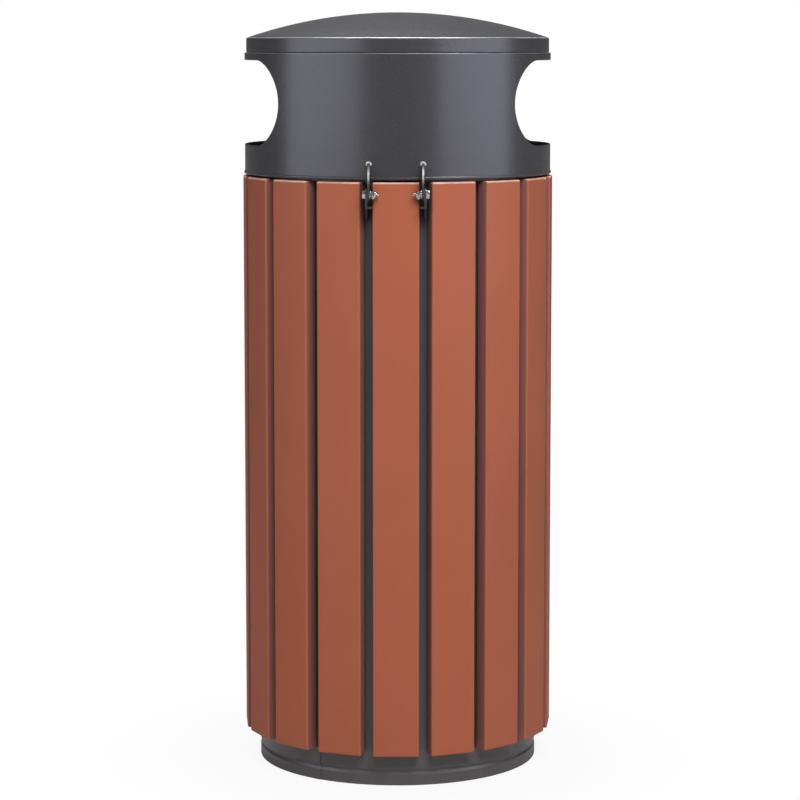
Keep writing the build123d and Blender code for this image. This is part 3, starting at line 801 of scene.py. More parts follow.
def wall_skin(radius):
    """Two grids of one skin, the lower band and the upper band. A band's inner edge is at
    the middle height minus or plus the ellipse's height. Each grid comes with the cells to
    keep, which leave out the lock's patch."""
    rise = (OPEN_HEIGHT / 2 + WALL_HALF) * opened
    lower_edge, upper_edge = WALL_MIDDLE - rise, WALL_MIDDLE + rise
    lower = WALL_FOOT + fractions[:, None] * (lower_edge - WALL_FOOT)[None, :]
    share = np.linspace(0, 1, UPPER_ROWS)[:, None]
    upper = upper_edge[None, :] + share * (WALL_TOP - WALL_HALF - upper_edge)[None, :]
    keep = np.ones((len(fractions) - 1, len(columns)), dtype=bool)
    keep[patch_from:patch_to, lock_column & np.roll(lock_column, -1)] = False
    return [(wall_point(columns[None, :], lower, radius), keep),
            (wall_point(columns[None, :], upper, radius), None)]


skins = wall_skin(WALL_RADIUS) + wall_skin(WALL_RADIUS - WALL_SHEET)
print("skins of the wall:", len(skins), "grids")


# %% Rounded rims of the openings
def opening_rims():
    """Half circle from the outer skin to the inner one along each opening's edge. With t over
    half a turn, the edge moves out by h (1 - sin t) and the radius is centre + h cos t."""
    turn = np.linspace(0, math.pi, 7)
    moved, radii = WALL_HALF * (1 - np.sin(turn)), WALL_CENTRE + WALL_HALF * np.cos(turn)
    side = np.sin(columns) * WALL_RADIUS
    straight = np.clip(side, -OPEN_STRAIGHT, OPEN_STRAIGHT)
    beyond = (side - straight) / (OPEN_END + WALL_HALF)
    across = straight + beyond * (OPEN_END + moved[:, None])
    angle = np.arcsin(across / WALL_RADIUS)
    facing = np.where(np.cos(columns) > 0, 1.0, -1.0)
    x, y = radii[:, None] * np.cos(angle) * facing, radii[:, None] * np.sin(angle)
    over = reach >= 0
    keep = np.broadcast_to(over & np.roll(over, -1), (len(turn) - 1, len(columns)))
    rims = []
    for sense in (-1, 1):
        height = WALL_MIDDLE + sense * (OPEN_HEIGHT / 2 + moved[:, None]) * opened
        rims.append((np.stack([x, y, height], axis=-1), keep))
    return rims


rims = opening_rims()
print("rims of the openings:", len(rims), "grids of", rims[0][0].shape[:2])


# %% Top edge and rolled foot
def wall_edges():
    """Half circle over the top edge, and nearly a full circle for the rolled foot, which
    starts and ends where the lip meets the two skins."""
    crown = arc_points((WALL_CENTRE, WALL_TOP - WALL_HALF), WALL_HALF, 0, 180, 6)
    meet = math.degrees(math.asin(math.sqrt(LIP_RADIUS ** 2 - WALL_HALF ** 2) / LIP_RADIUS))
    lip = arc_points((WALL_CENTRE, LIP_Z), LIP_RADIUS, meet, meet - 360 + 2 * (90 - meet), 28)
    return [(wall_point(columns[None, :], edge[:, 1:], edge[:, :1]), None)
            for edge in (crown, lip)]


edges = wall_edges()
print("rows over the top edge and round the foot:", [len(grid) for grid, keep in edges])


# %% Hole for the lock
def lock_hole():
    """Ring grids from the square patch in to the round hole, on both skins, and the hole's
    own wall between them."""
    across = columns[lock_column]
    up = WALL_FOOT + fractions[patch_from:patch_to + 1] * (WALL_MIDDLE - WALL_FOOT)
    loop = ([(angle, up[0]) for angle in across[:-1]] + [(across[-1], z) for z in up[:-1]]
            + [(angle, up[-1]) for angle in across[:0:-1]] + [(across[0], z) for z in up[:0:-1]])
    loop = np.array(loop)
    flat = np.stack([(loop[:, 0] - math.pi / 2) * WALL_RADIUS, loop[:, 1] - LOCK_Z], axis=-1)
    round_edge = flat / np.linalg.norm(flat, axis=1)[:, None] * LOCK_HOLE
    share = np.linspace(0, 1, 5)[:, None, None]
    rings = flat[None] * (1 - share) + round_edge[None] * share
    angle, height = rings[..., 0] / WALL_RADIUS + math.pi / 2, rings[..., 1] + LOCK_Z
    outer = wall_point(angle, height, WALL_RADIUS)
    inner = wall_point(angle, height, WALL_RADIUS - WALL_SHEET)
    return [(outer, None), (inner, None), (np.array([outer[-1], inner[-1]]), None)]


hole = lock_hole()
print("lock hole:", hole[0][0].shape[1], "points round it")


# %% Several grids as one mesh
def merged(name, blocks, sharp=40.0):
    """One closed mesh from several grids. Each grid closes on itself along its rows; a mask
    of cells says which faces to keep, and equal points are merged."""
    points, faces, offset = [], [], 0
    for grid, keep in blocks:
        count_u, count_v = grid.shape[:2]
        index = np.arange(count_u * count_v).reshape(count_u, count_v) + offset
        index = np.hstack([index, index[:, :1]])
        corners = [index[:-1, :-1], index[1:, :-1], index[1:, 1:], index[:-1, 1:]]
        quads = np.stack(corners, axis=-1)
        if keep is not None:
            quads = quads[keep]
        faces += quads.reshape(-1, 4).tolist()
        points.append(grid.reshape(-1, 3))
        offset += count_u * count_v
    mesh = bpy.data.meshes.new(name)
    mesh.from_pydata(np.concatenate(points).tolist(), [], faces)
    return finish_mesh(name, mesh, sharp)


# %% Head wall
WALL_EDGE_REACH = 0.7 * MM
wall = merged("head_wall_sheet", skins + rims + edges + hole)
# Painted highlight: edge number 1 on the wall's top edge, fading out WALL_EDGE_REACH below it.
mark_painted_highlight(wall, 1 + (points_of(wall)[:, 2] - WALL_TOP) / WALL_EDGE_REACH)
install(wall, "head", head_paint, ["head_wall"])

# %% [markdown]
# ## The roof
# The roof is a pressed dome. Its section is an arc of a large circle, a small arc at the
# shoulder, and a straight skirt that steps in to sit inside the wall. A squashed sphere
# would be quicker, but its shoulder would be too soft. The small arc is what catches the
# overhead light, so it gets many steps.

# %% Roof sizes
ROOF_RADIUS = float(high("roof")[0])
ROOF_TOP, ROOF_FOOT = float(high("roof")[2]), float(low("roof")[2])
ROOF_RISE, ROOF_BEND, ROOF_SHEET = 32.5 * MM, 3.0 * MM, 1.2 * MM
ROOF_JOGGLE = 193.3 * MM
SPHERE = (ROOF_RADIUS ** 2 + ROOF_RISE ** 2) / (2 * ROOF_RISE)
SPHERE_Z = ROOF_TOP - SPHERE
BEND_R = ROOF_RADIUS - ROOF_BEND
BEND_Z = SPHERE_Z + math.sqrt((SPHERE - ROOF_BEND) ** 2 - BEND_R ** 2)
print("dome's radius", round(SPHERE / MM), "mm, from (r^2 + h^2) / 2h")


# %% Roof
def roof_section(inset):
    """Half section from the axis to the foot, moved inwards by inset."""
    slope = math.atan2(BEND_R, BEND_Z - SPHERE_Z)
    dome_turn = np.linspace(0, slope, 60)
    dome = (SPHERE - inset) * np.stack([np.sin(dome_turn), np.cos(dome_turn)], axis=-1)
    bend_turn = np.linspace(slope, math.pi / 2, 14)[1:]
    bend = (ROOF_BEND - inset) * np.stack([np.sin(bend_turn), np.cos(bend_turn)], axis=-1)
    skirt, joggle = ROOF_RADIUS - inset, ROOF_JOGGLE - inset
    drop = [(skirt, BEND_Z * 0.75 + WALL_TOP * 0.25), (skirt, BEND_Z * 0.25 + WALL_TOP * 0.75),
            (skirt, WALL_TOP + 1.6 * MM), (skirt - 0.1 * MM, WALL_TOP + 0.9 * MM),
            (skirt * 0.4 + joggle * 0.6, WALL_TOP + 0.3 * MM), (joggle, WALL_TOP - 0.4 * MM),
            (joggle, ROOF_FOOT)]
    return np.concatenate([dome + (0, SPHERE_Z), bend + (BEND_R, BEND_Z), np.array(drop)])


def mark_shoulder(piece, brightest=52, reach=24):
    """Painted highlight: edge number 1 at the brightest angle round the shoulder, and 0 from
    reach degrees on either side of it."""
    points = points_of(piece)
    out = np.hypot(points[:, 0], points[:, 1]) - BEND_R
    turn = np.degrees(np.arctan2(points[:, 2] - BEND_Z, out))
    mark_painted_highlight(piece, np.where(points[:, 2] > BEND_Z, 1 - np.abs(turn - brightest) / reach, 0))


roof_loop = np.concatenate([roof_section(0.0), roof_section(ROOF_SHEET)[::-1]])
roof = turned("roof_dome", roof_loop, 256, closed=False)
mark_shoulder(roof)
install(roof, "head", head_paint, ["roof"])

# %% [markdown]
# ## The hinges
# Each hinge is two laser-cut plates side by side: a leaf welded to the head and a lug welded
# to the drum. A flat outline with a hole is easiest as a 2D curve, which can be filled,
# thickened and bevelled at once. It is turned into a mesh before it is put in its place.

# %% Hinge sizes
PIVOT_Y, PIVOT_Z = -205.1 * MM, 743.4 * MM
PIVOT = (PIVOT_Y, PIVOT_Z)
EYE_RADIUS, PLATE, BOLT_HOLE = 8.0 * MM, 2.5 * MM, 3.05 * MM
WEB_TOP = PIVOT_Z - 14.2 * MM
SIDES = ((1, "right"), (-1, "left"))
LEAF_TOP, LEAF_HEEL = float(high("hinge_leaf_right")[2]), float(low("hinge_leaf_right")[1])
leaf_near, leaf_far = float(low("hinge_leaf_right")[0]), float(high("hinge_leaf_right")[0])
lug_near, lug_far = float(low("hinge_lug_right")[0]), float(high("hinge_lug_right")[0])
print("hinge plates across X, mm:",
      [round(value / MM, 1) for value in (leaf_near, leaf_far, lug_near, lug_far)])


# %% Cut plates
def plate(name, outline, hole, hole_radius, thickness, bevel=0.35 * MM):
    """Flat outline in (y, z) with an optional round hole, thickened along X from 0."""
    curve = bpy.data.curves.new(name, "CURVE")
    curve.dimensions, curve.fill_mode = "2D", "BOTH"
    curve.extrude, curve.bevel_depth = thickness / 2 - bevel, bevel
    curve.bevel_resolution, curve.offset = 2, -bevel
    loops = [outline]
    if hole is not None:
        loops.append(arc_points(hole, hole_radius, 0, 360, 48)[:-1])
    for loop in loops:
        spline = curve.splines.new("POLY")
        spline.points.add(len(loop) - 1)
        spline.use_cyclic_u = True
        flat = np.zeros((len(loop), 4))
        flat[:, :2], flat[:, 3] = loop, 1
        spline.points.foreach_set("co", flat.ravel())
    holder = bpy.data.objects.new(name + "_curve", curve)
    scene.collection.objects.link(holder)
    bpy.context.view_layer.update()
    solid = holder.evaluated_get(bpy.context.evaluated_depsgraph_get())
    mesh = bpy.data.meshes.new_from_object(solid)
    bpy.data.objects.remove(holder)
    drawn = mesh_points(mesh)
    set_points(mesh, np.stack([drawn[:, 2] + thickness / 2, drawn[:, 0], drawn[:, 1]], axis=-1))
    return mesh


# %% Moving and joining meshes
def shifted(mesh, step, mirror=False):
    """Moves a mesh's points by a step, and mirrors them across X = 0 if asked."""
    points = mesh_points(mesh) + np.asarray(step)
    if mirror:
        points[:, 0] *= -1
    set_points(mesh, points)
    return mesh


def joined(name, meshes, sharp=30.0):
    """Several meshes as one object."""
    work = bmesh.new()
    for mesh in meshes:
        work.from_mesh(mesh)
    whole = bpy.data.meshes.new(name)
    work.to_mesh(whole)
    work.free()
    return finish_mesh(name, whole, sharp)


# %% Hinge outlines
def leaf_outline():
    """Eye below, heel in front, sloping shoulder up to the wall."""
    eye = arc_points(PIVOT, EYE_RADIUS, 180, 360, 20)
    back, foot = -(WALL_RADIUS - 0.4 * MM), WALL_FOOT - 3.5 * MM
    corners = [(LEAF_HEEL, PIVOT_Z + 9.83 * MM), (LEAF_HEEL, LEAF_TOP - 11.46 * MM),
               (back, LEAF_TOP), (back, foot), (PIVOT_Y + EYE_RADIUS, foot)]
    return np.concatenate([eye, np.array(corners[::-1])])


def lug_outline():
    """Eye at the top front, straight front edge, and a taper to the lower end."""
    lower, toe, back = low("hinge_lug_right")[2], -189 * MM, -176.6 * MM
    eye = arc_points(PIVOT, EYE_RADIUS, 90, 180, 12)
    corners = [(PIVOT_Y - EYE_RADIUS, WEB_TOP - PLATE), (toe, lower), (back, lower),
               (back, PIVOT_Z + EYE_RADIUS)]
    return np.concatenate([eye, np.array(corners)])


print("leaf outline has", len(leaf_outline()), "points, lug outline", len(lug_outline()))

# %% [markdown]
# ## Welds
# A weld bead is a row of small drops that froze one after another. A tube whose radius
# swells once per drop shows that in the highlight. A bump map could draw the drops on a
# plain tube, but the outline would stay straight.


# %% Weld bead
def weld_bead(name, path, radius, pitch=1.3 * MM):
    """Tube of welding along a path. Its radius is r (1 + 0.09 cos(2 pi s / pitch)) at the
    length s, and it draws in towards both ends."""
    path = np.asarray(path, dtype=float)
    steps = np.linalg.norm(np.diff(path, axis=0), axis=1)
    length = np.concatenate([[0], np.cumsum(steps)])
    along = np.linspace(0, length[-1], int(length[-1] / pitch * 8))
    line = np.stack([np.interp(along, length, path[:, axis]) for axis in range(3)], axis=-1)
    soft = np.array([1, 2, 3, 2, 1]) / 9
    for axis in range(3):
        line[2:-2, axis] = np.convolve(line[:, axis], soft, "valid")
    tangent = np.gradient(line, axis=0)
    tangent /= np.linalg.norm(tangent, axis=1)[:, None]
    side = np.cross(tangent, np.array([0.0, -1.0, 0.0]))
    side /= np.linalg.norm(side, axis=1)[:, None]
    up = np.cross(side, tangent)
    ends = np.sqrt(np.clip(np.minimum(along, length[-1] - along) / radius, 0, 1))
    swell = radius * (1 + 0.09 * np.cos(2 * math.pi * along / pitch)) * (0.15 + 0.85 * ends)
    angle = np.linspace(0, 2 * math.pi, 16, endpoint=False)
    ring = (np.cos(angle)[None, :, None] * side[:, None]
            + np.sin(angle)[None, :, None] * up[:, None])
    grid = line[:, None] + swell[:, None, None] * ring
    return surface(name, grid, wrap_v=True, caps=True, sharp=60)


def leaf_bead(side):
    """Path of the weld round a leaf: up one side, over the top and down the other side."""
    middle, reach = side * (leaf_near + leaf_far) / 2, PLATE / 2 + 0.7 * MM
    y = -math.sqrt((WALL_RADIUS + 0.2 * MM) ** 2 - middle ** 2)
    foot, bend = WALL_FOOT + 1 * MM, LEAF_TOP - 1.5 * MM
    route = [(-reach, foot), (-reach, bend), (-reach * 0.8, LEAF_TOP), (0, LEAF_TOP + 0.4 * MM),
             (reach * 0.8, LEAF_TOP), (reach, bend), (reach, foot)]
    return [(middle + x, y, z) for x, z in route]


print("weld path has", len(leaf_bead(1)), "corners")


# %% Leaves, welds and lugs
def leaf_piece(word, mirror):
    """A leaf, with an edge number for a painted highlight on its sloping shoulder: 1 at the
    slope's line and 0 from 4 mm behind it."""
    leaf = plate("leaf", leaf_outline(), PIVOT, BOLT_HOLE, PLATE)
    piece = joined(f"leaf_plate_{word}", [shifted(leaf, (leaf_near, 0, 0), mirror)])
    y, z = points_of(piece)[:, 1], points_of(piece)[:, 2]
    behind = y - LEAF_HEEL - 0.6 * (z - PIVOT_Z - 22 * MM)
    mark_painted_highlight(piece, np.where(z > LEAF_TOP - 15 * MM, 1 - behind / (4 * MM), 0))
    return piece


def lug_piece(word, mirror):
    """A lug with the web that joins it to the drum's front."""
    lug = plate("lug", lug_outline(), PIVOT, BOLT_HOLE, PLATE)
    front, back = PIVOT_Y - EYE_RADIUS, -177.2 * MM
    web_outline = np.array([(front, WEB_TOP - PLATE), (back, WEB_TOP - PLATE),
                            (back, WEB_TOP), (front, WEB_TOP)])
    web = plate("web", web_outline, None, 0, lug_far - PLATE / 2 - lug_near)
    return joined(f"lug_plate_{word}", [shifted(lug, (lug_far - PLATE, 0, 0), mirror),
                                        shifted(web, (lug_near, 0, 0), mirror)])


for side, word in SIDES:
    install(leaf_piece(word, side < 0), "head", hinge_paint,
            [f"hinge_leaf_{word}"])
    install(lug_piece(word, side < 0), "drum", hinge_paint,
            [f"hinge_lug_{word}"])
    weld = weld_bead(f"leaf_weld_{word}", leaf_bead(side), 1.9 * MM)
    # Painted highlight over the top of the weld bead, fading out 2.5 mm below it.
    mark_painted_highlight(weld, 1 - (LEAF_TOP - 1.2 * MM - points_of(weld)[:, 2]) / (2.5 * MM))
    install(weld, "head", hinge_paint)

# %% [markdown]
# ## Bolts and nuts
# A hexagon head is a hexagonal prism cut by a cone. In polar form its radius is the smaller
# of two values at each angle: the hexagon's, and the cone's at that depth. The free end of
# the bolt carries a true thread, whose radius depends on the angle plus the distance along.


# %% Points round an axis
def round_axis(distance, radius, angle, centre, along):
    """Points at a radius and angle round an axis through centre, which runs along X or Y."""
    distance = np.broadcast_to(distance, radius.shape)
    first = centre[0] + radius * np.cos(angle)[None]
    second = centre[1] + radius * np.sin(angle)[None]
    axes = [distance, first, second] if along == "X" else [first, distance, second]
    return np.stack(axes, axis=-1)


# %% Hexagons
HEX_STEPS = np.concatenate([[0, 0.02, 0.05, 0.09, 0.14, 0.2], np.linspace(0.25, 0.75, 5),
                            [0.8, 0.86, 0.91, 0.95, 0.98, 1]])
AXIS_RADIUS = 1e-7


def hexagon(name, centre, start, end, across, chamfered_start=True, turn=0.0, bore=0.0,
            along="X"):
    """Prism along an axis from start to end; radius = min(apothem / cos, cone) at each
    angle, with a 30 degree cone at each chamfered face and an optional round bore."""
    apothem, length = across / 2, abs(end - start)
    angle = np.linspace(0, 2 * math.pi, 145)[:-1]
    prism = apothem / np.cos((angle + turn) % (math.pi / 3) - math.pi / 6)
    sections = []
    for share in HEX_STEPS:
        from_start = share * length if chamfered_start else 1
        nearest = min(from_start, (1 - share) * length)
        cone = apothem * 0.97 + nearest / math.tan(math.radians(30))
        sections.append(np.minimum(prism, cone))
    closing = np.full(len(angle), max(bore, AXIS_RADIUS))
    radii = np.vstack([closing, sections, closing])
    x = np.concatenate([[start], start + HEX_STEPS * (end - start), [end]])
    grid = round_axis(x[:, None], radii, angle, centre, along)
    return surface(name, grid, wrap_u=bore > 0, wrap_v=True, sharp=25)


print("a hexagon has", len(HEX_STEPS), "steps along its axis")


# %% Rods and threads
def rod(name, centre, profile, thread=None, steps=96, along="X"):
    """Turned shape along an axis from (distance, radius) pairs. thread = (from, to, pitch,
    depth) takes a triangular groove out of the radius, turning with the angle."""
    angle = np.linspace(0, 2 * math.pi, steps, endpoint=False)
    x = profile[:, 0][:, None]
    radius = np.broadcast_to(profile[:, 1][:, None], (len(profile), steps)).copy()
    if thread:
        first, last, pitch, depth = thread
        phase = (x / pitch + angle[None] / (2 * math.pi)) % 1
        inside = np.clip(np.minimum(x - first, last - x) / pitch, 0, 1)
        radius = radius - depth * inside * np.abs(2 * phase - 1) * (radius > 1e-4)
    return surface(name, round_axis(x, radius, angle, centre, along), wrap_v=True, sharp=30)


def ring_along(name, section, start, side):
    """Turned ring on the hinge's axis, from a section that starts at a place on it."""
    section = np.array(section) * MM
    section[:, 0] = start - side * section[:, 0]
    return rod(name, PIVOT, np.vstack([section, section[:1]]))


# %% Bolt, washer and nut
BOLT_RADIUS, BOLT_LENGTH, BOLT_TIP = 3 * MM, 16 * MM, 0.6 * MM
HEX_ACROSS, HEAD_HEIGHT, NUT_HEIGHT, WASHER = 10 * MM, 4 * MM, 5 * MM, 1.2 * MM
THREAD_PITCH, THREAD_DEPTH, THREAD_START = 1.0 * MM, 0.5 * MM, 9 * MM
WASHER_SECTION = [(0, 3.05), (0, 5.7), (0.15, 6.0), (1.05, 6.0), (1.2, 5.7), (1.2, 3.05)]
COLLAR_SECTION = [(4.9, 3.05), (4.9, 4.4), (5.7, 4.4), (6.1, 4.2), (6.3, 3.8), (6.3, 3.05)]


def bolt_shank(face, side):
    """Threaded rod of a bolt, with a small cone at its tip."""
    x = np.linspace(0, BOLT_LENGTH, 260)
    cone = BOLT_LENGTH - BOLT_TIP
    radius = np.where(x < cone, BOLT_RADIUS, BOLT_RADIUS - (x - cone))
    profile = np.stack([np.append(x, BOLT_LENGTH), np.append(radius, AXIS_RADIUS)], axis=-1)
    profile[:, 0] = face - side * profile[:, 0]
    first, last = sorted((face - side * BOLT_LENGTH, face - side * THREAD_START))
    return rod("thread", PIVOT, profile, (first - 1 * MM, last, THREAD_PITCH, THREAD_DEPTH))


def bolt_set(side):
    """Bolt, washer and collar nut of one hinge, as three lists of meshes."""
    face = side * lug_far
    head = hexagon("head", PIVOT, face, face + side * HEAD_HEIGHT, HEX_ACROSS, False, 0.2)
    washer_face = side * (leaf_near - 0.1 * MM)
    seat = washer_face - side * WASHER
    nut = hexagon("nut", PIVOT, seat, seat - side * NUT_HEIGHT, HEX_ACROSS, True, -0.15,
                  BOLT_HOLE)
    return ([head, bolt_shank(face, side)],
            [ring_along("washer", WASHER_SECTION, washer_face, side)],
            [nut, ring_along("collar", COLLAR_SECTION, seat, side)])


# %% Both hinges' fixings
def gather(name, pieces):
    """Joins finished pieces into one object and removes the originals."""
    whole = joined(name, [piece.data for piece in pieces])
    for piece in pieces:
        bpy.data.objects.remove(piece)
    return whole


right_set, left_set = bolt_set(1), bolt_set(-1)
for index, node in enumerate(("hinge_bolts", "hinge_washers", "hinge_nuts")):
    fixing = gather(node + "_set", right_set[index] + left_set[index])
    install(fixing, "drum", zinc, [node])

# %% [markdown]
# ## The liner
# The liner is a bucket of galvanised sheet with a wire rolled into its rim. Each drop handle
# is a bent wire. A swept wire needs a frame that does not twist; the handle stays in one
# upright plane, so that plane's own normal is one side of the frame all the way round.


# %% Liner sizes
LINER_WALL, LINER_SHEET, LINER_BEAD = 160.0 * MM, 1.0 * MM, 3.0 * MM
LINER_BOTTOM, LINER_TOP = float(low("liner_shell")[2]), float(high("liner_shell")[2])
HANDLE_X, EAR_Z = 145 * MM, 711.5 * MM
print("liner from", round(LINER_BOTTOM / MM, 1), "to", round(LINER_TOP / MM, 1), "mm")


# %% Liner
def liner_section(corner=2.5 * MM):
    """Bottom, rounded corner, wall, wired rim and the way back down the inside."""
    inside = LINER_WALL - LINER_SHEET
    bead = (LINER_WALL + LINER_BEAD - LINER_SHEET / 2, LINER_TOP - LINER_BEAD)
    bend = (LINER_WALL - corner, LINER_BOTTOM + corner)
    heights = np.linspace(LINER_BOTTOM + 20 * MM, bead[1] - 6 * MM, 24)
    floor_z = LINER_BOTTOM + LINER_SHEET
    outer = [(0.0, LINER_BOTTOM), (LINER_WALL * 0.5, LINER_BOTTOM)]
    outer += arc_points(bend, corner, -90, 0, 8).tolist()
    outer += [(LINER_WALL, height) for height in heights]
    outer += arc_points(bead, LINER_BEAD, -146.4, 90, 28).tolist()
    inner = [(bead[0] - LINER_BEAD + 0.3 * MM, LINER_TOP), (inside, LINER_TOP - 0.4 * MM)]
    inner += [(inside, height) for height in heights[::-1]]
    inner += arc_points(bend, corner - LINER_SHEET, 0, -90, 8).tolist()
    inner += [(LINER_WALL * 0.5, floor_z), (0.0, floor_z)]
    return np.array(outer + inner)


bucket = turned("liner_bucket", liner_section(), 224, closed=False)
install(bucket, "liner", galvanised, ["liner_shell"])


# %% Handles
WIRE, GRIP_HALF, GRIP_Z, WIRE_BEND = 2.5 * MM, 40.0 * MM, 666.5 * MM, 6 * MM


def handle_route(end):
    """Centre line of a handle in (y, z): in through one ear, down, along the grip, up and
    out through the other ear, with filleted bends."""
    corners = [(end, EAR_Z), (GRIP_HALF, EAR_Z), (GRIP_HALF, GRIP_Z), (-GRIP_HALF, GRIP_Z),
               (-GRIP_HALF, EAR_Z), (-end, EAR_Z), (-end, EAR_Z + 1)]
    route = rounded(corners, [0] + [WIRE_BEND] * 4 + [0, 0], 10)[:-1]
    steps = np.linalg.norm(np.diff(route, axis=0), axis=1)
    return route[np.concatenate([[True], steps > 1e-6])]


def handle_piece(side, word):
    """Round wire along the route in the plane x = constant. A point at the angle t lies at
    route + r sin t along the route's normal, and at x + r cos t."""
    route = handle_route(float(high(f"liner_handle_{word}")[1]))
    tangent = np.gradient(route, axis=0)
    tangent[0], tangent[-1] = route[1] - route[0], route[-1] - route[-2]
    tangent /= np.linalg.norm(tangent, axis=1)[:, None]
    normal = np.stack([-tangent[:, 1], tangent[:, 0]], axis=-1)
    inset = WIRE * 0.25
    radius = np.concatenate([[WIRE - inset], np.full(len(route), WIRE), [WIRE - inset]])
    route = np.vstack([route[0], route[0] + tangent[0] * inset, route[1:-1],
                       route[-1] - tangent[-1] * inset, route[-1]])
    normal = np.vstack([normal[0], normal, normal[-1]])
    angle = np.linspace(0, 2 * math.pi, 24, endpoint=False)
    across = radius[:, None] * np.sin(angle)[None]
    grid = np.stack([side * HANDLE_X + radius[:, None] * np.cos(angle)[None],
                     route[:, :1] + across * normal[:, :1],
                     route[:, 1:] + across * normal[:, 1:]], axis=-1)
    return surface(f"handle_wire_{word}", grid, wrap_v=True, caps=True, sharp=40)


for side, word in SIDES:
    install(handle_piece(side, word), f"handle_{word}", handle_wire,
            [f"liner_handle_{word}"])

# %% [markdown]
# ## The lock
# The lock is a short barrel with a round flange outside and a flat nut inside. A triangular
# drive stands in its mouth, and a cam on its inner end swings under a bracket on the drum.
# Most of it is turned, so the rod from the bolts serves again, with its axis along Y.


# %% Barrel and nut
LOCK_AXIS = (0, LOCK_Z)
LOCK_RADIUS, LOCK_BORE, FLANGE_RADIUS = 9 * MM, 6.05 * MM, 13 * MM
MOUTH_RADIUS, MOUTH_DEPTH, FLANGE_SHEET = 5.6 * MM, 7 * MM, 3 * MM


def barrel_piece():
    """Turned section of the barrel: bore, threaded outside, flange with a chamfer, mouth."""
    back, front = float(low("lock_body")[1]), float(high("lock_body")[1])
    flange, mouth = front - FLANGE_SHEET, front - MOUTH_DEPTH
    threads = [(depth, LOCK_RADIUS) for depth in np.linspace(back + 0.4 * MM, back + 4 * MM, 50)]
    section = [(back, LOCK_BORE), (back, 8.6 * MM)] + threads + [
        (flange, LOCK_RADIUS), (flange, 12.7 * MM), (flange + 0.3 * MM, FLANGE_RADIUS),
        (front - 1 * MM, FLANGE_RADIUS), (front - 0.25 * MM, 12.3 * MM), (front, 11.9 * MM),
        (front, 6.0 * MM), (front - 0.3 * MM, MOUTH_RADIUS), (mouth, MOUTH_RADIUS),
        (mouth, LOCK_BORE), (back, LOCK_BORE)]
    thread = (back, back + 4 * MM, THREAD_PITCH, THREAD_DEPTH)
    return rod("barrel", LOCK_AXIS, np.array(section), thread, 128, "Y")


install(barrel_piece(), "head", lock_metal, ["lock_body"])
nut_back, nut_front = float(low("lock_nut")[1]), float(high("lock_nut")[1])
lock_nut = hexagon("lock_flat_nut", LOCK_AXIS, nut_back, nut_front, 22 * MM,
                   turn=math.pi / 6, bore=9.05 * MM, along="Y")
install(lock_nut, "head", lock_metal, ["lock_nut"])


# %% Triangular drive
DRIVE_REACH, DRIVE_ROUND, DRIVE_EDGE = 5 * MM, 0.7 * MM, 0.5 * MM


def drive_piece():
    """Plug and triangular drive: a rounded triangle carried along Y, drawn in at its front
    end by r (1 - cos t)."""
    back, front = float(low("lock_plug")[1]), float(high("lock_plug")[1])
    base = front - MOUTH_DEPTH
    corners = [(DRIVE_REACH * math.sin(turn), DRIVE_REACH * math.cos(turn))
               for turn in np.radians([0, 120, 240])]
    outline = rounded(corners, DRIVE_ROUND, 6)
    quarter = np.linspace(0, math.pi / 2, 5)
    depth = np.append(base, front - DRIVE_EDGE + DRIVE_EDGE * np.sin(quarter))[:, None]
    drawn_in = np.append(0, DRIVE_EDGE * (1 - np.cos(quarter)))
    scale = 1 - drawn_in[:, None] / (DRIVE_REACH / 2)
    x, z = outline[None, :, 0] * scale, LOCK_Z + outline[None, :, 1] * scale
    grid = np.stack([x, np.broadcast_to(depth, x.shape), z], axis=-1)
    drive = surface("drive", grid, wrap_v=True, caps=True, sharp=40)
    stem = np.array([(back, AXIS_RADIUS), (back, 5.7 * MM), (back + 0.3 * MM, 6 * MM),
                     (base - 0.2 * MM, 6 * MM), (base, 5.8 * MM), (base, AXIS_RADIUS)])
    return gather("lock_drive", [drive, rod("stem", LOCK_AXIS, stem, None, 64, "Y")])


install(drive_piece(), "lock", lock_metal, ["lock_plug"])


# %% Cam
CAM_RADIUS, CAM_ARM = 6 * MM, 18 * MM


def swapped(mesh):
    """Exchanges X and Y, so that a plate cut across X becomes one cut across Y."""
    set_points(mesh, mesh_points(mesh)[:, [1, 0, 2]])
    return mesh


cam_back, cam_front = float(low("lock_cam")[1]), float(high("lock_cam")[1])
cam_outline = np.concatenate([
    arc_points(LOCK_AXIS, CAM_RADIUS, 0, 180, 20),
    arc_points((0, LOCK_Z - CAM_ARM), CAM_RADIUS, 180, 360, 20)])
cam = plate("cam", cam_outline, LOCK_AXIS, BOLT_HOLE, cam_front - cam_back, 0.3 * MM)
cam = joined("lock_cam_plate", [swapped(shifted(cam, (cam_back, 0, 0)))])
install(cam, "lock", zinc, ["lock_cam"])


# %% Cam screw
def dome_screw():
    """Domed head on a short shank; the dome's radius is r + h sin t at the depth
    d (1 - cos t)."""
    back, front = float(low("cam_screw")[1]), float(high("cam_screw")[1])
    turn, dish, recess = np.linspace(0, math.pi / 2, 10), 1.6 * MM, 1.4 * MM
    dome = np.stack([back + dish * (1 - np.cos(turn)), dish + 3.4 * MM * np.sin(turn)], axis=-1)
    profile = np.concatenate([[(back + recess, AXIS_RADIUS), (back + recess, 1.5 * MM)], dome,
                              [(back + 3 * MM, 5 * MM), (back + 3 * MM, 3 * MM),
                               (front, 3 * MM), (front, AXIS_RADIUS)]])
    return rod("cam_screw_dome", LOCK_AXIS, profile, None, 64, "Y")


install(dome_screw(), "lock", zinc, ["cam_screw"])

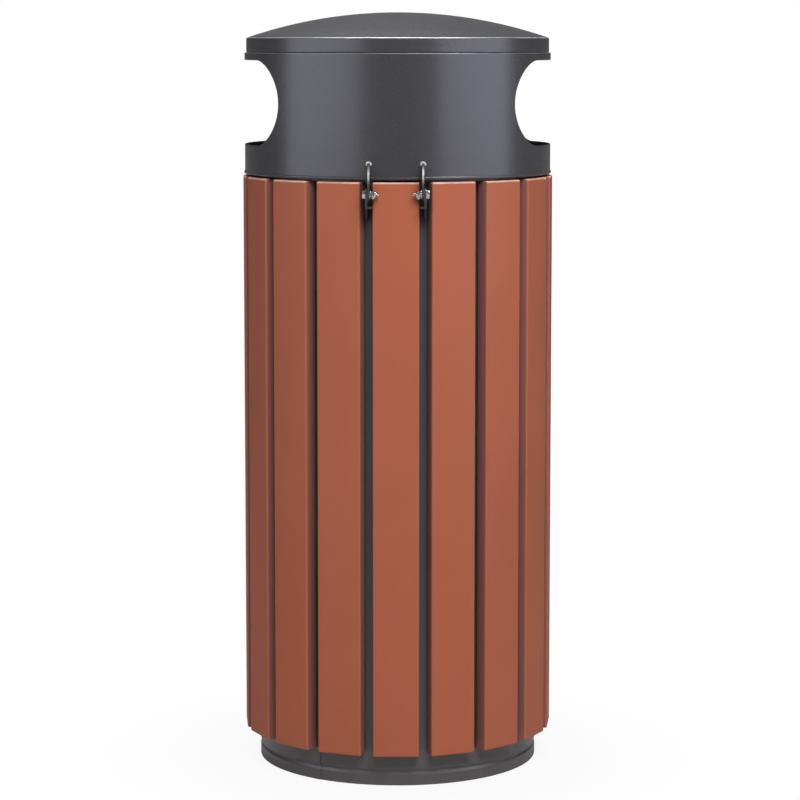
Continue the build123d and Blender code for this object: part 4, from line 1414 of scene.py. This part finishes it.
# %% Keeper bracket
keep_low, keep_high = low("lock_keeper"), high("lock_keeper")
KEEPER_SHEET = 2.5 * MM
step_y, step_z = keep_low[1] + KEEPER_SHEET, keep_high[2] - KEEPER_SHEET
keeper_corners = [(keep_low[1], keep_low[2]), (step_y, keep_low[2]),
                  (step_y, step_z), (keep_high[1], step_z),
                  (keep_high[1], keep_high[2]), (keep_low[1], keep_high[2])]
keeper_bends = [radius * MM for radius in (0.3, 0.3, 0.5, 0.4, 0.4, 2.4)]
keeper = plate("keeper", rounded(keeper_corners, keeper_bends, 6), None, 0,
               float(keep_high[0] - keep_low[0]), 0.3 * MM)
keeper = joined("keeper_bracket", [shifted(keeper, (keep_low[0], 0, 0))])
install(keeper, "drum", drum_paint, ["lock_keeper"])

# %% Liner ears
EAR_RADIUS, EAR_SHEET, EAR_HOLE = 8 * MM, 4 * MM, 2.55 * MM
EAR_END = float(high("liner_ears_right")[1])


def ear(start, mirror):
    """Plate from y = start. It ends at the liner's wall, x = sqrt(R^2 - y^2), where y is the
    plate's inner face at +Y and one sheet beyond its outer face at -Y."""
    farther = abs(start) + (EAR_SHEET if start < 0 else 0)
    wall = math.sqrt((LINER_WALL - 1.1 * MM) ** 2 - farther ** 2) - 0.1 * MM
    outline = np.concatenate([arc_points((HANDLE_X, EAR_Z), EAR_RADIUS, 90, 270, 24),
                              [(wall, EAR_Z - EAR_RADIUS), (wall, EAR_Z + EAR_RADIUS)]])
    drawn = plate("ear", outline, (HANDLE_X, EAR_Z), EAR_HOLE, EAR_SHEET, 0.4 * MM)
    return shifted(swapped(shifted(drawn, (start, 0, 0))), (0, 0, 0), mirror)


for side, word in SIDES:
    ears = [ear(start, side < 0) for start in (EAR_END - EAR_SHEET, -EAR_END)]
    install(joined(f"ear_plates_{word}", ears), "liner", galvanised,
            [f"liner_ears_{word}"])

# %% [markdown]
# ## Stage
# A pale floor and a white background show the outline well. The floor gives off a little
# light of its own, and for the camera it is nearly all light, so that it stays near white
# and fades into the background. A plain white floor would turn grey away from the lights.


# %% Floor
FLOOR_GLOW = 0.19
FLOOR_RINGS = [0.0, 0.5, 2.0, 8.0, 40.0]
FADE_FROM_METRES, FADE_TO_METRES = 0.17, 0.45    # from the bin's axis
FADE_SHARES = (0.92, 1.0)


def floor_material():
    """Grey surface mixed with white light: by FLOOR_GLOW everywhere, and for the camera by
    a share that grows to 1 where the floor meets the background."""
    material, tree, shader = new_material("pale_floor")
    shader.inputs["Base Color"].default_value = (0.60, 0.60, 0.60, 1)
    shader.inputs["Roughness"].default_value = 0.9
    lift = add(tree, "ShaderNodeEmission", Strength=1.0)
    blend = tree.nodes.new("ShaderNodeMixShader")
    seen = tree.nodes.new("ShaderNodeLightPath").outputs["Is Camera Ray"]
    reach = tree.nodes.new("ShaderNodeVectorMath")
    reach.operation = "LENGTH"
    tree.links.new(object_place(tree), reach.inputs[0])
    fade = remap(tree, reach.outputs["Value"], FADE_FROM_METRES, FADE_TO_METRES, *FADE_SHARES)
    direct = math_node(tree, "MULTIPLY", seen, fade)
    tree.links.new(math_node(tree, "MAXIMUM", direct, FLOOR_GLOW), blend.inputs["Fac"])
    tree.links.new(shader.outputs["BSDF"], blend.inputs[1])
    tree.links.new(lift.outputs["Emission"], blend.inputs[2])
    tree.links.new(blend.outputs["Shader"], tree.nodes["Material Output"].inputs["Surface"])
    return material


angle = np.linspace(0, 2 * math.pi, 96, endpoint=False)
ring = np.array(FLOOR_RINGS)[:, None]
x, y = ring * np.sin(angle), ring * np.cos(angle)
floor = surface("floor", np.stack([x, y, np.zeros_like(x)], axis=-1), wrap_v=True)
floor.data.materials.append(floor_material())
print("floor reaches", FLOOR_RINGS[-1], "m")


# %% Background
SEEN_STRENGTH, LIT_STRENGTH = 1.0, 0.13


def white_world():
    """White behind the object for the camera, and a dimmer grey fill for the light."""
    world = bpy.data.worlds.new("studio")
    world.use_nodes = True
    tree = world.node_tree
    background = tree.nodes["Background"]
    background.inputs["Color"].default_value = (1, 1, 1, 1)
    seen = tree.nodes.new("ShaderNodeLightPath").outputs["Is Camera Ray"]
    tree.links.new(remap(tree, seen, 0, 1, LIT_STRENGTH, SEEN_STRENGTH),
                   background.inputs["Strength"])
    return world


scene.world = white_world()
scene.view_settings.view_transform = "Standard"
print("background seen at", SEEN_STRENGTH, "and lighting at", LIT_STRENGTH)

# %% [markdown]
# ## Lights
# Four lights give the shading: a large key above and in front, a fill behind, a small catch
# light and a top light. Three more boxes show only in the gloss. Two stand at the sides,
# well off the camera's axis, so a dark band stays in the middle of the round head with a
# paler zone on each side of it; the third hangs over the roof. One environment image could
# do all of this, but single boxes can be placed and dimmed one by one.


# %% Lights
def softbox(name, place, aim, size, power, tint=(1, 1, 1), diffuse=True, glossy=True):
    """Rectangular area light at a place, facing a point."""
    light = bpy.data.lights.new(name, "AREA")
    light.shape = "RECTANGLE"
    light.size, light.size_y = size
    light.energy = power
    light.color = tint
    box = bpy.data.objects.new(name, light)
    box.location = place
    box.rotation_euler = (Vector(aim) - Vector(place)).to_track_quat("-Z", "Y").to_euler()
    box.visible_diffuse, box.visible_glossy = diffuse, glossy
    scene.collection.objects.link(box)


softbox("key", (0.5, -1.95, 2.6), (0, 0, 0.6), (1.9, 1.4), 62, glossy=False)
softbox("back_fill", (-0.5, 2.3, 1.9), (0, 0, 0.5), (1.6, 1.2), 36, glossy=False)
softbox("catch_light", (0.2, -2.2, 1.9), (0, 0, 0.75), (0.5, 0.3), 3)
softbox("top", (0.1, 0.15, 2.4), (0, 0, 0.95), (1.4, 0.6), 11)
print("lights for the shading: key, back fill, catch light and top")

# %% Lights seen only in the gloss
GLOW_TINT = (0.84, 0.86, 1.0)
softbox("glow_left", (-1.5, -1.6, 1.15), (0, -1.6, 1.05), (2.9, 1.1), 29, GLOW_TINT, False)
softbox("glow_right", (1.5, -1.35, 1.15), (0, -1.35, 1.05), (2.5, 1.1), 27, GLOW_TINT, False)
softbox("glow_top", (0.1, 0.1, 2.4), (0, -0.19, 0.9), (1.7, 0.5), 92, diffuse=False)
print(len(bpy.data.lights), "lights in all")

# %% [markdown]
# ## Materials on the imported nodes
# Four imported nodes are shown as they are: the base plate, the head's ring and the two rows
# of slat screws. The others are replaced by their finished pieces. All but the slats' nodes
# get the paints and metals too, so the two versions match in colour.

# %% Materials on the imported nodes
OWN_NODES = [
    (drum_paint, ["drum_shell", "drum_seam", "rim_hoop", "base_plate", "lock_keeper",
                  "hinge_lug_left", "hinge_lug_right"]),
    (head_paint, ["hinge_leaf_left", "hinge_leaf_right", "head_wall", "head_ring", "roof"]),
    (zinc, ["hinge_bolts", "hinge_nuts", "hinge_washers", "slat_screws_upper",
            "slat_screws_lower", "lock_cam", "cam_screw"]),
    (lock_metal, ["lock_body", "lock_nut", "lock_plug"]),
    (galvanised, ["liner_shell", "liner_ears_left", "liner_ears_right"]),
    (handle_wire, ["liner_handle_left", "liner_handle_right"])]
for material, names in OWN_NODES:
    for node in names:
        nodes[node].data.materials.clear()
        nodes[node].data.materials.append(material)
    print(material.name, "on", len(names), "packed nodes")
